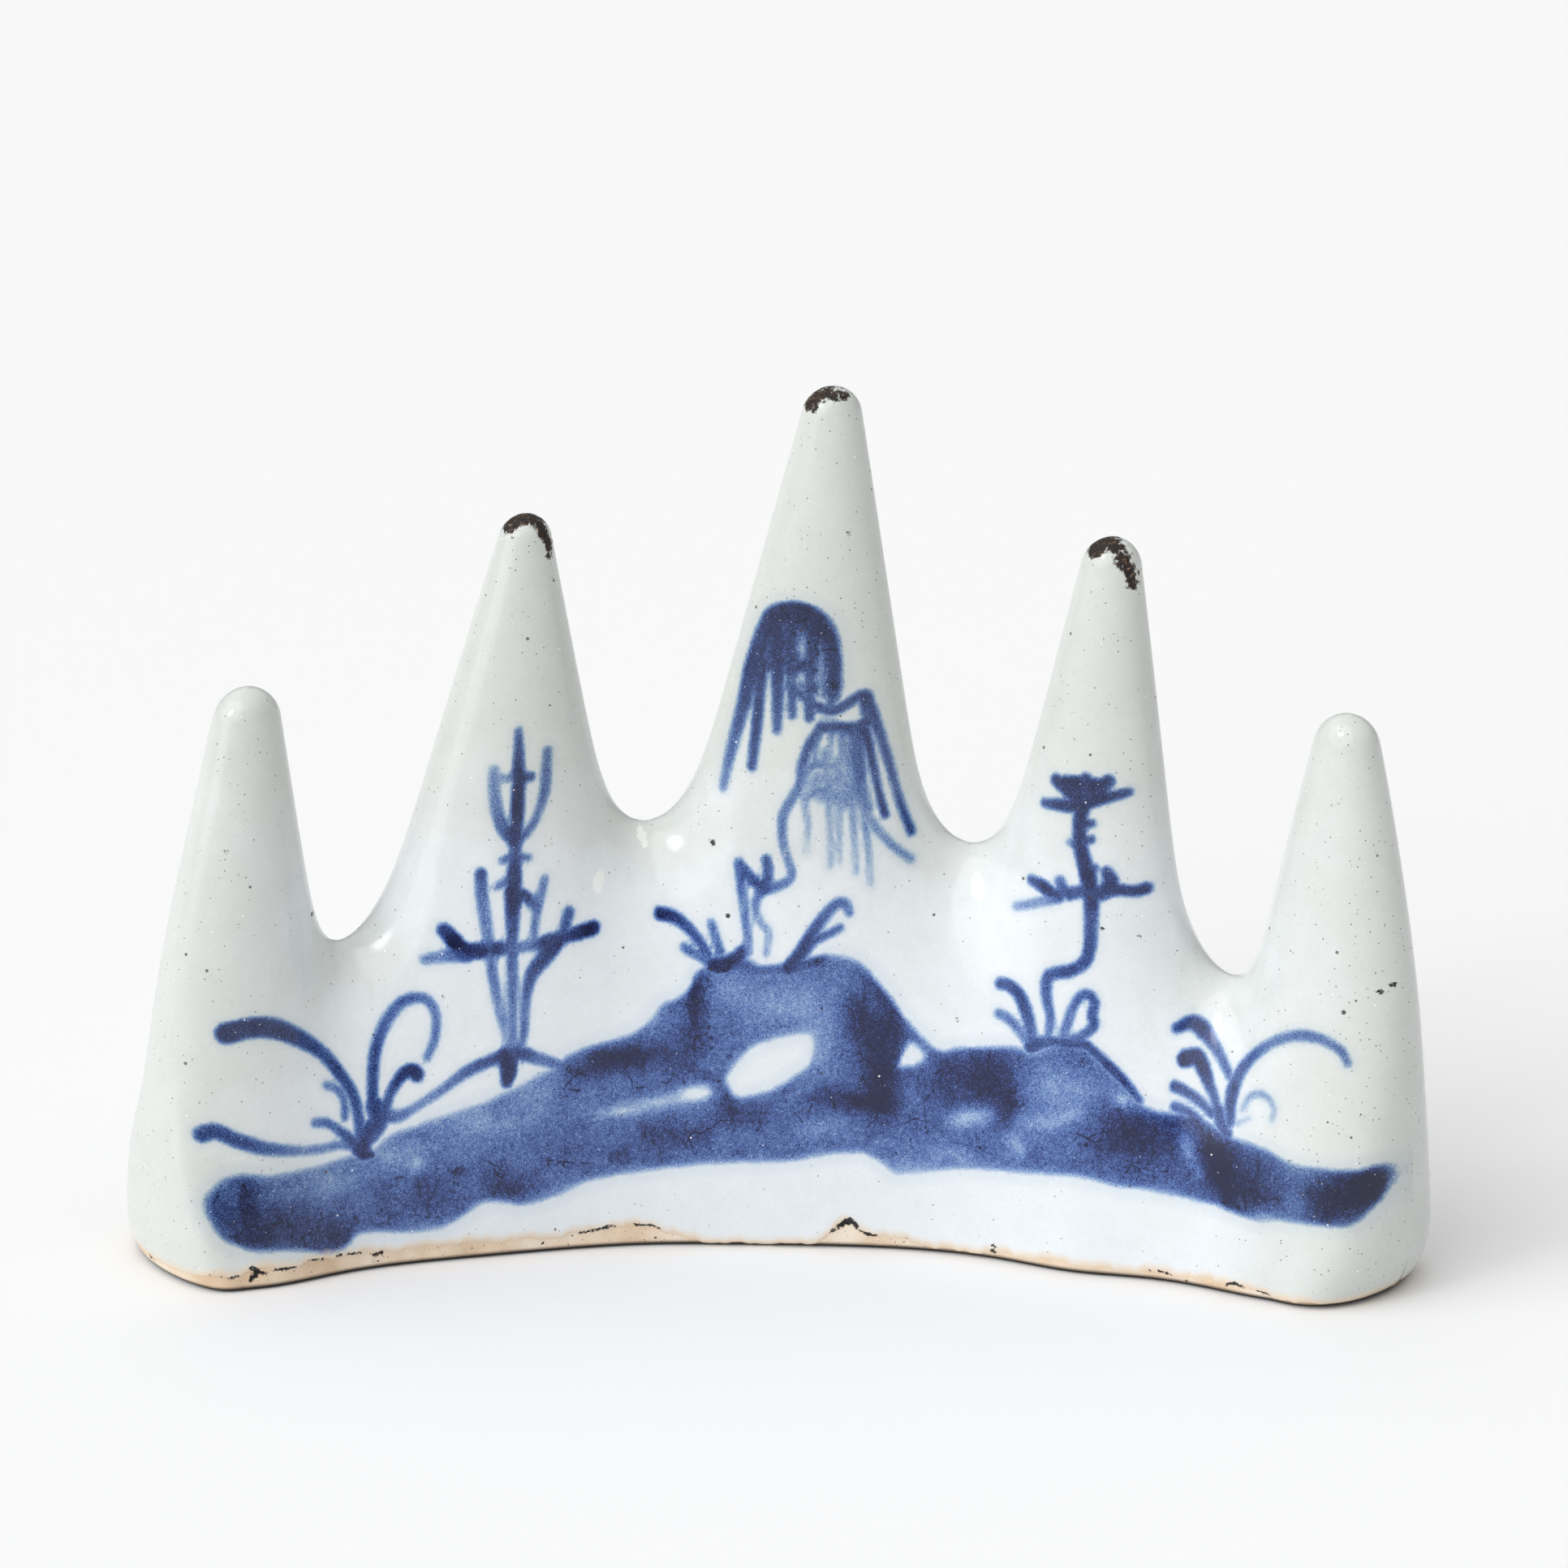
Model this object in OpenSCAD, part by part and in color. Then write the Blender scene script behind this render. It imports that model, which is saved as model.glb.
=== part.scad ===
// Porcelain brush rest in the shape of a mountain range with five peaks.
// Two press-moulded halves meet along the middle of the wall and stand round a flat base slab.
// A clear glaze coats both halves and stops short of the foot.
// X runs along the rest, the front faces -Y, and Z is up from the surface that it stands on.

/* [Whole rest] */
// Length from end to end, measured along the bowed middle surface
rest_len = 158; // [150:0.5:200]
// Radius of the bow that brings both ends towards the user
bow_r = 128; // [100:1:600]
// Half thickness that the wall starts from at the foot
foot_half_t = 12.2; // [10:0.1:16]
// Half thickness that the wall loses for each millimetre of height
wall_taper = 0.07; // [0:0.005:0.08]

/* [Hill under the peaks] */
// Height of the hill's crest in the middle
hill_mid_h = 44; // [35:0.5:60]
// Height of the hill's crest at the two ends
hill_end_h = 15; // [5:0.5:30]
// Height over which the crest rounds off
crest_round = 11; // [6:0.5:16]
// Blend between neighbouring peaks and the hill, as the square of a half thickness
blend = 45; // [10:1:60]

/* [Outer left peak] */
// Place of the tip along the rest
outer_left_x = -64.1; // [-66:0.1:-58]
// Height of the tip
outer_left_h = 70.2; // [60:0.2:90]
// Radius of the tip
outer_left_r = 3.7; // [2:0.1:5]
// Sideways drift of the peak's middle for each millimetre down from the tip
outer_left_lean = -0.067; // [-0.12:0.001:0.05]
// Half width that the peak gains for each millimetre down from the tip
outer_left_flare = 0.187; // [0.15:0.001:0.3]
// Drop over which the flanks steepen
outer_left_reach = 51; // [40:1:200]

/* [Inner left peak] */
// Place of the tip along the rest
inner_left_x = -30.2; // [-36:0.1:-26]
// Height of the tip
inner_left_h = 87.6; // [75:0.2:110]
// Radius of the tip
inner_left_r = 2.5; // [2:0.1:5]
// Sideways drift of the peak's middle for each millimetre down from the tip
inner_left_lean = -0.071; // [-0.1:0.001:0.05]
// Half width that the peak gains for each millimetre down from the tip
inner_left_flare = 0.243; // [0.15:0.001:0.3]

/* [Centre peak] */
// Place of the tip along the rest
centre_x = 5.5; // [-2:0.1:8]
// Height of the tip
centre_h = 102.5; // [85:0.5:130]
// Radius of the tip
centre_r = 2.9; // [2:0.1:5]
// Sideways drift of the peak's middle for each millimetre down from the tip
centre_lean = -0.059; // [-0.1:0.001:0.05]
// Half width that the peak gains for each millimetre down from the tip
centre_flare = 0.207; // [0.15:0.001:0.28]

/* [Inner right peak] */
// Place of the tip along the rest
inner_right_x = 38.6; // [32:0.1:44]
// Height of the tip
inner_right_h = 86.6; // [75:0.2:110]
// Radius of the tip
inner_right_r = 3.1; // [2:0.1:5]
// Sideways drift of the peak's middle for each millimetre down from the tip
inner_right_lean = -0.055; // [-0.1:0.001:0.05]
// Half width that the peak gains for each millimetre down from the tip
inner_right_flare = 0.178; // [0.15:0.001:0.28]

/* [Outer right peak] */
// Place of the tip along the rest
outer_right_x = 68.5; // [60:0.1:70]
// Height of the tip
outer_right_h = 70.4; // [60:0.2:90]
// Radius of the tip
outer_right_r = 4; // [2:0.1:5]
// Sideways drift of the peak's middle for each millimetre down from the tip
outer_right_lean = -0.002; // [-0.1:0.001:0.1]
// Half width that the peak gains for each millimetre down from the tip
outer_right_flare = 0.2; // [0.15:0.001:0.3]
// Drop over which the flanks steepen
outer_right_reach = 120; // [40:1:200]

/* [Tips and ends] */
// Depth of a peak from front to back as a share of its width, near the tip
tip_roundness = 0.95; // [0.6:0.05:1.2]
// Length over which the left end rounds off, seen from above
left_end_round = 6; // [4:0.5:16]
// Length over which the right end rounds off, seen from above
right_end_round = 9; // [4:0.5:16]
// Blend between the peaks' flanks and the ends, as the square of a half thickness
end_blend = 35; // [5:1:45]
// Length that the foot's left corner is drawn in
left_corner = 1; // [0:0.1:3]
// Length that the foot's right corner is drawn in
right_corner = 2.6; // [0:0.1:4]
// Height over which both corners are drawn in
corner_h = 8; // [4:0.5:12]

/* [Foot] */
// Radius of the edge that the foot stands on
foot_edge_r = 1.2; // [0.5:0.1:2]
// Place of the left swelling that pressing left in the foot
left_swell_x = -67; // [-70:1:-50]
// Half thickness that it adds
left_swell = 1.2; // [0:0.1:2]
// Place of the right swelling
right_swell_x = 39; // [20:1:60]
// Half thickness that it adds
right_swell = 1.8; // [0:0.1:2]
// Length over which a swelling fades to each side
swell_reach = 9; // [6:0.5:16]
// Height over which a swelling fades upwards
swell_h = 12; // [8:0.5:20]

/* [Clay and glaze] */
// Thickness of the moulded clay wall
wall_t = 4.5; // [3:0.1:6]
// Thickness of the glaze
glaze_t = 0.4; // [0.3:0.05:0.8]
// Height of the bare foot band at the middle of the rest
bare_mid = 2.2; // [1.8:0.1:4]
// Height of the bare foot band at the two ends
bare_end = 3.6; // [2:0.1:6]
// Thickness of the base slab
slab_t = 4; // [3:0.1:6]
// Diameter of the vent hole that lets air out of the hollow in the kiln
vent_d = 5; // [3:0.5:8]

/* [Hidden] */
half_len = rest_len / 2;
// Each peak: place, height, lean, flare, tip radius, and the drop over which its flanks steepen
straight = 1e6;
peaks = [
    [outer_left_x, outer_left_h, outer_left_lean, outer_left_flare, outer_left_r, outer_left_reach],
    [inner_left_x, inner_left_h, inner_left_lean, inner_left_flare, inner_left_r, straight],
    [centre_x, centre_h, centre_lean, centre_flare, centre_r, straight],
    [inner_right_x, inner_right_h, inner_right_lean, inner_right_flare, inner_right_r, straight],
    [outer_right_x, outer_right_h, outer_right_lean, outer_right_flare, outer_right_r, outer_right_reach]
];
// Depths below the outside of the glaze: the clay's outside and the hollow's wall
clay_in = glaze_t;
hollow_in = glaze_t + wall_t;
// Grid of each peak's patch: columns across, rows from the bare band to the valley, and up the flank
across = 8;
low_rows = 7;
high_rows = 12;
foot_rows = 2;
glaze_row = foot_rows + 1;
valley_row = glaze_row + low_rows;
tip_row = valley_row + high_rows;
// Least radius of the hollow's top inside a peak
hollow_tip_r = 1;
halvings = 18;
valley_tries = 24;
// Least and greatest exponent share that the crest's rounding needs
crest_cap = 8;

function sq(v) = v * v;
function mix(a, b, f) = a + (b - a) * f;
// 0 to 1 with a slow start and a slow end
function ease(f) = (1 - cos(180 * f)) / 2;
// Half width of a round cap of radius r at depth t below its top
function cap(t, r) = t >= r ? r : sqrt(sq(r) - sq(r - t));
// Largest of several values, with the joins between them rounded by k
function soft_max(v, k) = let (m = max(v)) m + k * ln([for (x = v) exp((x - m) / k)] * [for (x = v) 1]);
// Smaller of two values, with the join rounded by c
function soft_min(a, b, c) = (a + b - sqrt(sq(a - b) + sq(c))) / 2;
// Half thickness that the two swellings of the foot add
function swell(s, z) = exp(-z / swell_h) * (
    left_swell * exp(-sq((s - left_swell_x) / swell_reach))
    + right_swell * exp(-sq((s - right_swell_x) / swell_reach)));
// Half thickness of the wall at place s and height z, drawn in by depth
function half_t(s, z, depth) = foot_half_t - wall_taper * z + swell(s, z) - depth;

// Radius of a peak's tip and height of its top when the surface is drawn in by depth.
// Once the radius is used up, the flanks alone set where the top is.
function tip_r(p, depth) = max(p[4] - depth, min(p[4], hollow_tip_r));
function tip_drop(p, depth) =
    p[4] - depth >= hollow_tip_r ? depth : depth + (hollow_tip_r + depth - p[4]) * (1 / p[3] - 1);
function tip_h(p, depth) = p[1] - tip_drop(p, depth);

// Drop below the top, shortened where the flanks steepen
function spread(p, t) = t / pow(1 + pow(t / p[5], 4), 1 / 4);

// Square of the half depth that one peak has at place s and height z, below zero outside it
function peak_sq(p, s, z, depth) =
    let (t = tip_h(p, depth) - z, r = tip_r(p, depth))
    t <= 0 ? 2 * r * t - sq(s - p[0]) :
    let (
        drop = spread(p, t),
        w = cap(t, r) + p[3] * drop,
        ratio = 1 / (1 / sq(tip_roundness) + sq(w / half_t(s, z, depth)))
    )
    ratio * (sq(w) - sq(s - p[0] - p[2] * drop));

// The same for the hill: its crest arches down towards both ends
function hill_sq(s, z, depth) =
    let (crest = mix(hill_mid_h, hill_end_h, sq(s / half_len)) - depth)
    sq(half_t(s, z, depth)) * (1 - exp(min((z - crest) / crest_round, crest_cap)));

// The same for the two ends: a quarter of an ellipse seen from above, with the foot's corners drawn in
function end_sq(s, z, depth) =
    let (
        round = s < 0 ? left_end_round : right_end_round,
        corner = (s < 0 ? left_corner : right_corner) * sq(max(0, 1 - z / corner_h)),
        x = (abs(s) - half_len + corner + depth + round) / round
    )
    sq(half_t(s, z, depth)) * (1 - x * abs(x));

// Square of the whole rest's half depth: the soft maximum of the peaks and the hill, limited by the ends.
// The blends shrink with the thickness, so that a surface drawn in keeps the same valleys.
function whole_sq(s, z, depth) =
    let (
        share = sq(half_t(s, z, depth) / half_t(s, z, 0)),
        u = soft_max([for (p = peaks) peak_sq(p, s, z, depth), hill_sq(s, z, depth)], blend * share)
    )
    soft_min(u, end_sq(s, z, depth), end_blend * share);

// Roots by halving: the height of the outline above place s, and the place of the outline at height z
function top_at(s, lo, hi, depth, n = halvings) =
    n == 0 ? (lo + hi) / 2 :
    whole_sq(s, (lo + hi) / 2, depth) > 0 ?
        top_at(s, (lo + hi) / 2, hi, depth, n - 1) : top_at(s, lo, (lo + hi) / 2, depth, n - 1);
function flank_at(z, inside, outside, depth, n = halvings) =
    n == 0 ? (inside + outside) / 2 :
    whole_sq((inside + outside) / 2, z, depth) > 0 ?
        flank_at(z, (inside + outside) / 2, outside, depth, n - 1) :
        flank_at(z, inside, (inside + outside) / 2, depth, n - 1);

// Middle of a peak at height z, and the height of the outline above its tip
function middle(p, z, depth) = p[0] + p[2] * spread(p, max(0, tip_h(p, depth) - z));
function peak_top(p, depth) = top_at(p[0], p[1] / 2, p[1] + p[4], depth);

// Lowest point of the outline between peaks i and i + 1, found by closing in from both sides
function valley_place(a, b, n = valley_tries) =
    n == 0 ? (a + b) / 2 :
    top_at(mix(a, b, 0.4), 0, centre_h, 0) < top_at(mix(a, b, 0.6), 0, centre_h, 0) ?
        valley_place(a, mix(a, b, 0.6), n - 1) : valley_place(mix(a, b, 0.4), b, n - 1);
valley_s = [for (i = [0:len(peaks) - 2]) valley_place(peaks[i][0], peaks[i + 1][0])];
function valley_h(i, depth) = top_at(valley_s[i], 0, centre_h, depth);

// Height of the bare foot band at place s
function bare_h(s) = mix(bare_mid, bare_end, sq(s / half_len));

// Height of one row at the side of a peak whose valley is at height v and whose top is at height h.
// The hollow's first rows stand straight up the edge of the base slab.
function row_z(j, v, h, s, depth) =
    j < glaze_row ? (depth == hollow_in ? slab_t * j / foot_rows : foot_edge_r * sq(j / foot_rows)) :
    let (start = depth == hollow_in ? max(slab_t, bare_h(s)) + wall_t / 4 : bare_h(s))
    j <= valley_row ? v - (v - start) * sq((valley_row - j) / low_rows) :
    mix(v, h, ease((j - valley_row) / high_rows));

// Place where the surface is measured: the hollow is straight beside the slab, and the foot's edge is round
function field_z(z, depth) = depth == hollow_in ? max(z, slab_t) : z;
function field_in(z, depth) =
    depth == hollow_in || z >= foot_edge_r ? depth :
    depth + foot_edge_r - sqrt(sq(foot_edge_r) - sq(foot_edge_r - z));

// Place along the rest of one side's row. side is -1 for a peak's left and 1 for its right.
function side_s(i, side, j, z, depth) =
    let (
        v = side < 0 ? i - 1 : i,
        p = peaks[i],
        f = field_z(z, depth),
        in = field_in(z, depth),
        open_end = v < 0 || v > len(peaks) - 2
    )
    j == tip_row ? p[0] :
    !open_end && j <= valley_row ? valley_s[v] :
    flank_at(f, middle(p, f, depth), open_end ? side * (half_len + 1) : valley_s[v], in);

// Points [s, half depth, z] of one peak's patch, row by row from the foot to the tip
function patch(i, depth) =
    let (
        left = i == 0 ? 0 : i - 1,
        right = i == len(peaks) - 1 ? i - 1 : i,
        left_v = valley_h(left, depth),
        right_v = valley_h(right, depth),
        h = peak_top(peaks[i], depth),
        left_out = i == 0 ? -half_len : valley_s[left],
        right_out = i == len(peaks) - 1 ? half_len : valley_s[right]
    )
    [for (j = [0:tip_row])
        let (
            zl = row_z(j, left_v, h, left_out, depth),
            zr = row_z(j, right_v, h, right_out, depth),
            sl = side_s(i, -1, j, zl, depth),
            sr = side_s(i, 1, j, zr, depth)
        )
        [for (k = [0:across])
            let (
                f = (1 + sin(180 * k / across - 90)) / 2,
                s = mix(sl, sr, f),
                z = mix(zl, zr, ease(f)),
                rim = j == tip_row || (k == 0 && (i == 0 || j >= valley_row))
                    || (k == across && (i == len(peaks) - 1 || j >= valley_row)),
                q = rim ? 0 : whole_sq(s, field_z(z, depth), field_in(z, depth))
            )
            [s, sqrt(max(q, 0)), z]
        ]
    ];
function skin(depth) = [for (i = [0:len(peaks) - 1]) patch(i, depth)];

// The bow: places along the rest go round an arc, and the offset d is measured outwards from it
function round_bow(s, d) =
    let (a = s / bow_r * 180 / PI)
    [(bow_r + d) * sin(a), (bow_r + d) * cos(a) - bow_r];
// Middle of the glazed outline seen from above, at the glaze's edge and at the top of the corners,
// so that the origin is under the middle of the box
plan_line = [for (f = [-1:0.01:1]) for (z = [bare_h(f * half_len), corner_h])
    let (s = f * half_len, d = sqrt(max(whole_sq(s, z, 0), 0)))
    if (d > 0) each [round_bow(s, -d), round_bow(s, d)]
];
plan_mid = [for (i = [0, 1]) let (v = [for (p = plan_line) p[i]]) (min(v) + max(v)) / 2];
function bowed(s, d, z) = let (p = round_bow(s, d) - plan_mid) [p[0], p[1], z];

// Points of a skin on one side of the seam: side is -1 for the front and 1 for the back
function side_points(skin, side, from = 0) =
    [for (p = skin) for (j = [from:tip_row]) for (v = p[j]) bowed(v[0], side * v[1], v[2])];
// Triangles of a skin that starts at a row, wound to face the front; start is its first point's number
function skin_faces(from, start) =
    let (rows = tip_row - from, per = (rows + 1) * (across + 1))
    [for (i = [0:len(peaks) - 1]) for (j = [0:rows - 1]) for (k = [0:across - 1])
        let (a = start + i * per + j * (across + 1) + k, b = a + across + 1)
        each (j == rows - 1 ? [[a, b, a + 1]] : [[a, b, a + 1], [a + 1, b, b + 1]])
    ];
// Triangles between the rims of two skins with the same rows: up each flank and down the next one
function rim_faces(from, outer, inner) =
    let (rows = tip_row - from, wide = across + 1, per = (rows + 1) * wide, low = valley_row - from)
    [for (i = [0:len(peaks) - 1]) for (side = [0, 1]) for (j = [0:rows - 1])
        let (
            open_end = (side == 0 && i == 0) || (side == 1 && i == len(peaks) - 1),
            a = i * per + j * wide + side * across,
            b = a + wide
        )
        if (open_end || j >= low)
            each (side == 0 ?
                [[outer + a, inner + a, outer + b], [inner + a, inner + b, outer + b]] :
                [[outer + a, outer + b, inner + a], [inner + a, outer + b, inner + b]])
    ];
// Triangles between the lowest rows of two skins
function foot_faces(from, outer, inner) =
    let (per = (tip_row - from + 1) * (across + 1))
    [for (i = [0:len(peaks) - 1]) for (k = [0:across - 1])
        let (a = i * per + k)
        each [[outer + a, outer + a + 1, inner + a], [inner + a, outer + a + 1, inner + a + 1]]
    ];
function turned(faces) = [for (f = faces) [f[2], f[1], f[0]]];

// Closed shell on one side of the seam, between an outer and an inner skin
module half_shell(side, outer_in, inner_in) {
    outer = side_points(skin(outer_in), side);
    inner = side_points(skin(inner_in), side);
    n = len(outer);
    faces = concat(skin_faces(0, 0), turned(skin_faces(0, n)), rim_faces(0, 0, n), foot_faces(0, 0, n));
    polyhedron(concat(outer, inner), side < 0 ? faces : turned(faces), convexity = 8);
}

module front_half() {
    color("#d9c3a8") half_shell(-1, clay_in, hollow_in);
}

module back_half() {
    color("#d2bb9f") half_shell(1, clay_in, hollow_in);
}

// Flat slab that fills the hollow's mouth between the two halves
module base_slab() {
    mouth = [for (p = skin(hollow_in)) p[0]];
    last = len(peaks) - 1;
    front = [for (i = [0:last]) for (k = [0:across - 1]) bowed(mouth[i][k][0], -mouth[i][k][1], 0)];
    back = [for (i = [last:-1:0]) for (k = [across:-1:1]) bowed(mouth[i][k][0], mouth[i][k][1], 0)];
    color("#c9a888")
        difference() {
            linear_extrude(slab_t) polygon([for (v = concat(front, back)) [v[0], v[1]]]);
            translate([-plan_mid[0], -plan_mid[1], -1]) cylinder(h = slab_t + 2, d = vent_d, $fn = 48);
        }
}

// Thin clear coat over both halves, open at the bottom where the foot is bare
module glaze_coat() {
    glaze = skin(0);
    clay = skin(clay_in);
    from = glaze_row;
    outside = concat(side_points(glaze, -1, from), side_points(glaze, 1, from));
    inside = concat(side_points(clay, -1, from), side_points(clay, 1, from));
    n = len(outside);
    m = n / 2;
    faces = concat(
        skin_faces(from, 0), turned(skin_faces(from, m)),
        turned(skin_faces(from, n)), skin_faces(from, n + m),
        foot_faces(from, 0, n), turned(foot_faces(from, m, n + m))
    );
    color("#e3eae8") polyhedron(concat(outside, inside), faces, convexity = 8);
}

front_half();
back_half();
base_slab();
glaze_coat();
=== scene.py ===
"""Looks of the brush rest: a bowed porcelain wall of five peaks with a cobalt landscape on its front.

All shapes are worked out here in millimetres and turned to metres when a mesh is made.
s is the place along the rest on its bowed middle line, d the distance from that line
(below zero towards the front), z the height above the table.
"""

import math
from functools import partial

import bpy
import numpy as np
from mathutils import Matrix, Vector


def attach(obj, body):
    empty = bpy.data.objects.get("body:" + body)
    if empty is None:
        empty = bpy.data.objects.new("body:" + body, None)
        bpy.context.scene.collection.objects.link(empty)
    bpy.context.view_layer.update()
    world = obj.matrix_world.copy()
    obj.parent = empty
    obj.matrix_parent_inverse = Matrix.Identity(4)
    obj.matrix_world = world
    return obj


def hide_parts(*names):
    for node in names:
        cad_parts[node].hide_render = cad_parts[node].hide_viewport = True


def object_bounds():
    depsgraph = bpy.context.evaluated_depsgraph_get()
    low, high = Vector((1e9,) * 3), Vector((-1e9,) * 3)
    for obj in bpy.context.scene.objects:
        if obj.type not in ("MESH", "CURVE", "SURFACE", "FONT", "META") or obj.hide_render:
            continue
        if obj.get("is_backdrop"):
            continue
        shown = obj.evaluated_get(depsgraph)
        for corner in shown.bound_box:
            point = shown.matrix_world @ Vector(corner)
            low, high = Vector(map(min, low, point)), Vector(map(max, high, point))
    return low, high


MM = 0.001

# Shape of the wall, with the same values as the part's source
HALF_LEN = 79.0
BOW_R = 128.0
FOOT_HALF_T = 12.2
WALL_TAPER = 0.07
HILL_MID_H = 44.0
HILL_END_H = 15.0
CREST_ROUND = 11.0
CREST_CAP = 8.0
BLEND = 45.0
END_BLEND = 35.0
STRAIGHT = 1e6
PEAKS = [
    {"x": -64.1, "h": 70.2, "lean": -0.067, "flare": 0.187, "r": 3.7, "reach": 51.0},
    {"x": -30.2, "h": 87.6, "lean": -0.071, "flare": 0.243, "r": 2.5, "reach": STRAIGHT},
    {"x": 5.5, "h": 102.5, "lean": -0.059, "flare": 0.207, "r": 2.9, "reach": STRAIGHT},
    {"x": 38.6, "h": 86.6, "lean": -0.055, "flare": 0.178, "r": 3.1, "reach": STRAIGHT},
    {"x": 68.5, "h": 70.4, "lean": -0.002, "flare": 0.2, "r": 4.0, "reach": 120.0},
]
TIP_ROUNDNESS = 0.95
LEFT_END_ROUND = 6.0
RIGHT_END_ROUND = 9.0
LEFT_CORNER = 1.0
RIGHT_CORNER = 2.6
CORNER_H = 8.0
SWELLS = [(-67.0, 1.2), (39.0, 1.8)]
SWELL_REACH = 9.0
SWELL_H = 12.0
FOOT_EDGE_R = 1.2
HOLLOW_TIP_R = 1.0
GLAZE_T = 0.4
HOLLOW_IN = 4.9
SLAB_T = 4.0
CAD_GLAZE_LOW = 2.2
CAD_GLAZE_ENDS = 3.6

# Meshes: columns across each peak and rows up to the valley and to the tip
FRONT_COLUMNS = 90
BACK_COLUMNS = 40
LOW_ROWS = 90
HIGH_ROWS = 112
LIP_ROWS = 6
LIP_H = 1.1
LIP_ROLL = 0.3
LOW_ROW_CROWDING = 1.3
CLAY_COLUMNS = 90
CLAY_FOOT_ROWS = 7
CLAY_BAND_ROWS = 12
CLAY_BAND_H = 4.0
CLAY_LOW_ROWS = 14
CLAY_HIGH_ROWS = 20


def soft_max(values, k):
    """Largest of several values with rounded joins: k ln(sum of exp(value / k))."""
    top = np.max(values, axis=0)
    return top + k * np.log(sum(np.exp((v - top) / k) for v in values))


def soft_min(a, b, c):
    """Smaller of two values with a rounded join: (a + b - root((a - b)^2 + c^2)) / 2."""
    return (a + b - np.sqrt((a - b) ** 2 + c**2)) / 2


def half_t(s, z, depth):
    """Half thickness of the wall: the foot's, less taper times z, plus the foot's two swellings."""
    swell = sum(grown * np.exp(-(((s - x) / SWELL_REACH) ** 2)) for x, grown in SWELLS)
    return FOOT_HALF_T - WALL_TAPER * z + swell * np.exp(-z / SWELL_H) - depth


def tip_drop(p, depth):
    """How far a peak's top moves down when its surface is drawn in by depth."""
    worn = depth + (HOLLOW_TIP_R + depth - p["r"]) * (1 / p["flare"] - 1)
    return np.where(p["r"] - depth >= HOLLOW_TIP_R, depth, worn)


def peak_sq(p, s, z, depth):
    """Square of one peak's half depth: ratio (w^2 - (s - middle)^2), w = round cap + flare times drop.

    1 / ratio = 1 / tip_roundness^2 + (w / half_t)^2.
    """
    r = np.maximum(p["r"] - depth, HOLLOW_TIP_R)
    t = p["h"] - tip_drop(p, depth) - z
    below = np.maximum(t, 0)
    drop = below / (1 + (below / p["reach"]) ** 4) ** 0.25
    w = np.sqrt(np.maximum(r**2 - np.maximum(r - below, 0) ** 2, 0)) + p["flare"] * drop
    ratio = 1 / (1 / TIP_ROUNDNESS**2 + (w / half_t(s, z, depth)) ** 2)
    inside = ratio * (w**2 - (s - p["x"] - p["lean"] * drop) ** 2)
    return np.where(t <= 0, 2 * r * t - (s - p["x"]) ** 2, inside)


def hill_sq(s, z, depth):
    """Square of the hill's half depth: half_t^2 (1 - exp((z - crest) / round)), crest falling with s^2."""
    crest = HILL_MID_H + (HILL_END_H - HILL_MID_H) * (s / HALF_LEN) ** 2 - depth
    return half_t(s, z, depth) ** 2 * (1 - np.exp(np.minimum((z - crest) / CREST_ROUND, CREST_CAP)))


def end_sq(s, z, depth):
    """Square of the half depth that the ends leave: half_t^2 (1 - x |x|), x = way into the end's round."""
    length = np.where(s < 0, LEFT_END_ROUND, RIGHT_END_ROUND)
    corner = np.where(s < 0, LEFT_CORNER, RIGHT_CORNER) * np.maximum(0, 1 - z / CORNER_H) ** 2
    x = (np.abs(s) - HALF_LEN + corner + depth + length) / length
    return half_t(s, z, depth) ** 2 * (1 - x * np.abs(x))


def wall_sq(s, z, depth=0.0):
    """Square of the wall's half depth: soft maximum of peaks and hill, then soft minimum with the ends."""
    share = (half_t(s, z, depth) / half_t(s, z, 0)) ** 2
    raised = soft_max([peak_sq(p, s, z, depth) for p in PEAKS] + [hill_sq(s, z, depth)], BLEND * share)
    return soft_min(raised, end_sq(s, z, depth), END_BLEND * share)


def skin_sq(s, z, depth, rounded):
    """wall_sq with the foot's round edge: below height r the depth grows by r - root(r^2 - (r - z)^2)."""
    below = np.clip(FOOT_EDGE_R - z, 0, FOOT_EDGE_R)
    edge = FOOT_EDGE_R - np.sqrt(FOOT_EDGE_R**2 - below**2)
    return wall_sq(s, z, depth + edge if rounded else depth)


def halve(inside, outside, value):
    """Point between inside and outside where value changes sign, found by halving 40 times."""
    for _ in range(40):
        middle = (inside + outside) / 2
        within = value(middle) > 0
        inside = np.where(within, middle, inside)
        outside = np.where(within, outside, middle)
    return (inside + outside) / 2


def top_at(s, depth=0.0, low=0.0, high=110.0):
    """Height of the outline above place s."""
    s = np.asarray(s, float)
    return halve(np.full(s.shape, low), np.full(s.shape, high), lambda z: wall_sq(s, z, depth))


def valley(i):
    """Place of the lowest outline point between peaks i and i + 1."""
    s = np.linspace(PEAKS[i]["x"], PEAKS[i + 1]["x"], 4001)
    return s[np.argmin(top_at(s))]


VALLEYS = [valley(i) for i in range(len(PEAKS) - 1)]
LOWEST_VALLEY = 38.0
SADDLE_REACH = 9.0
SADDLE_DROP = 5.0


def bow(s, d):
    """Plan of the bowed wall: x = (R + d) sin(s / R), y = (R + d) cos(s / R) - R."""
    a = s / BOW_R
    return (BOW_R + d) * np.sin(a), (BOW_R + d) * np.cos(a) - BOW_R


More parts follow.
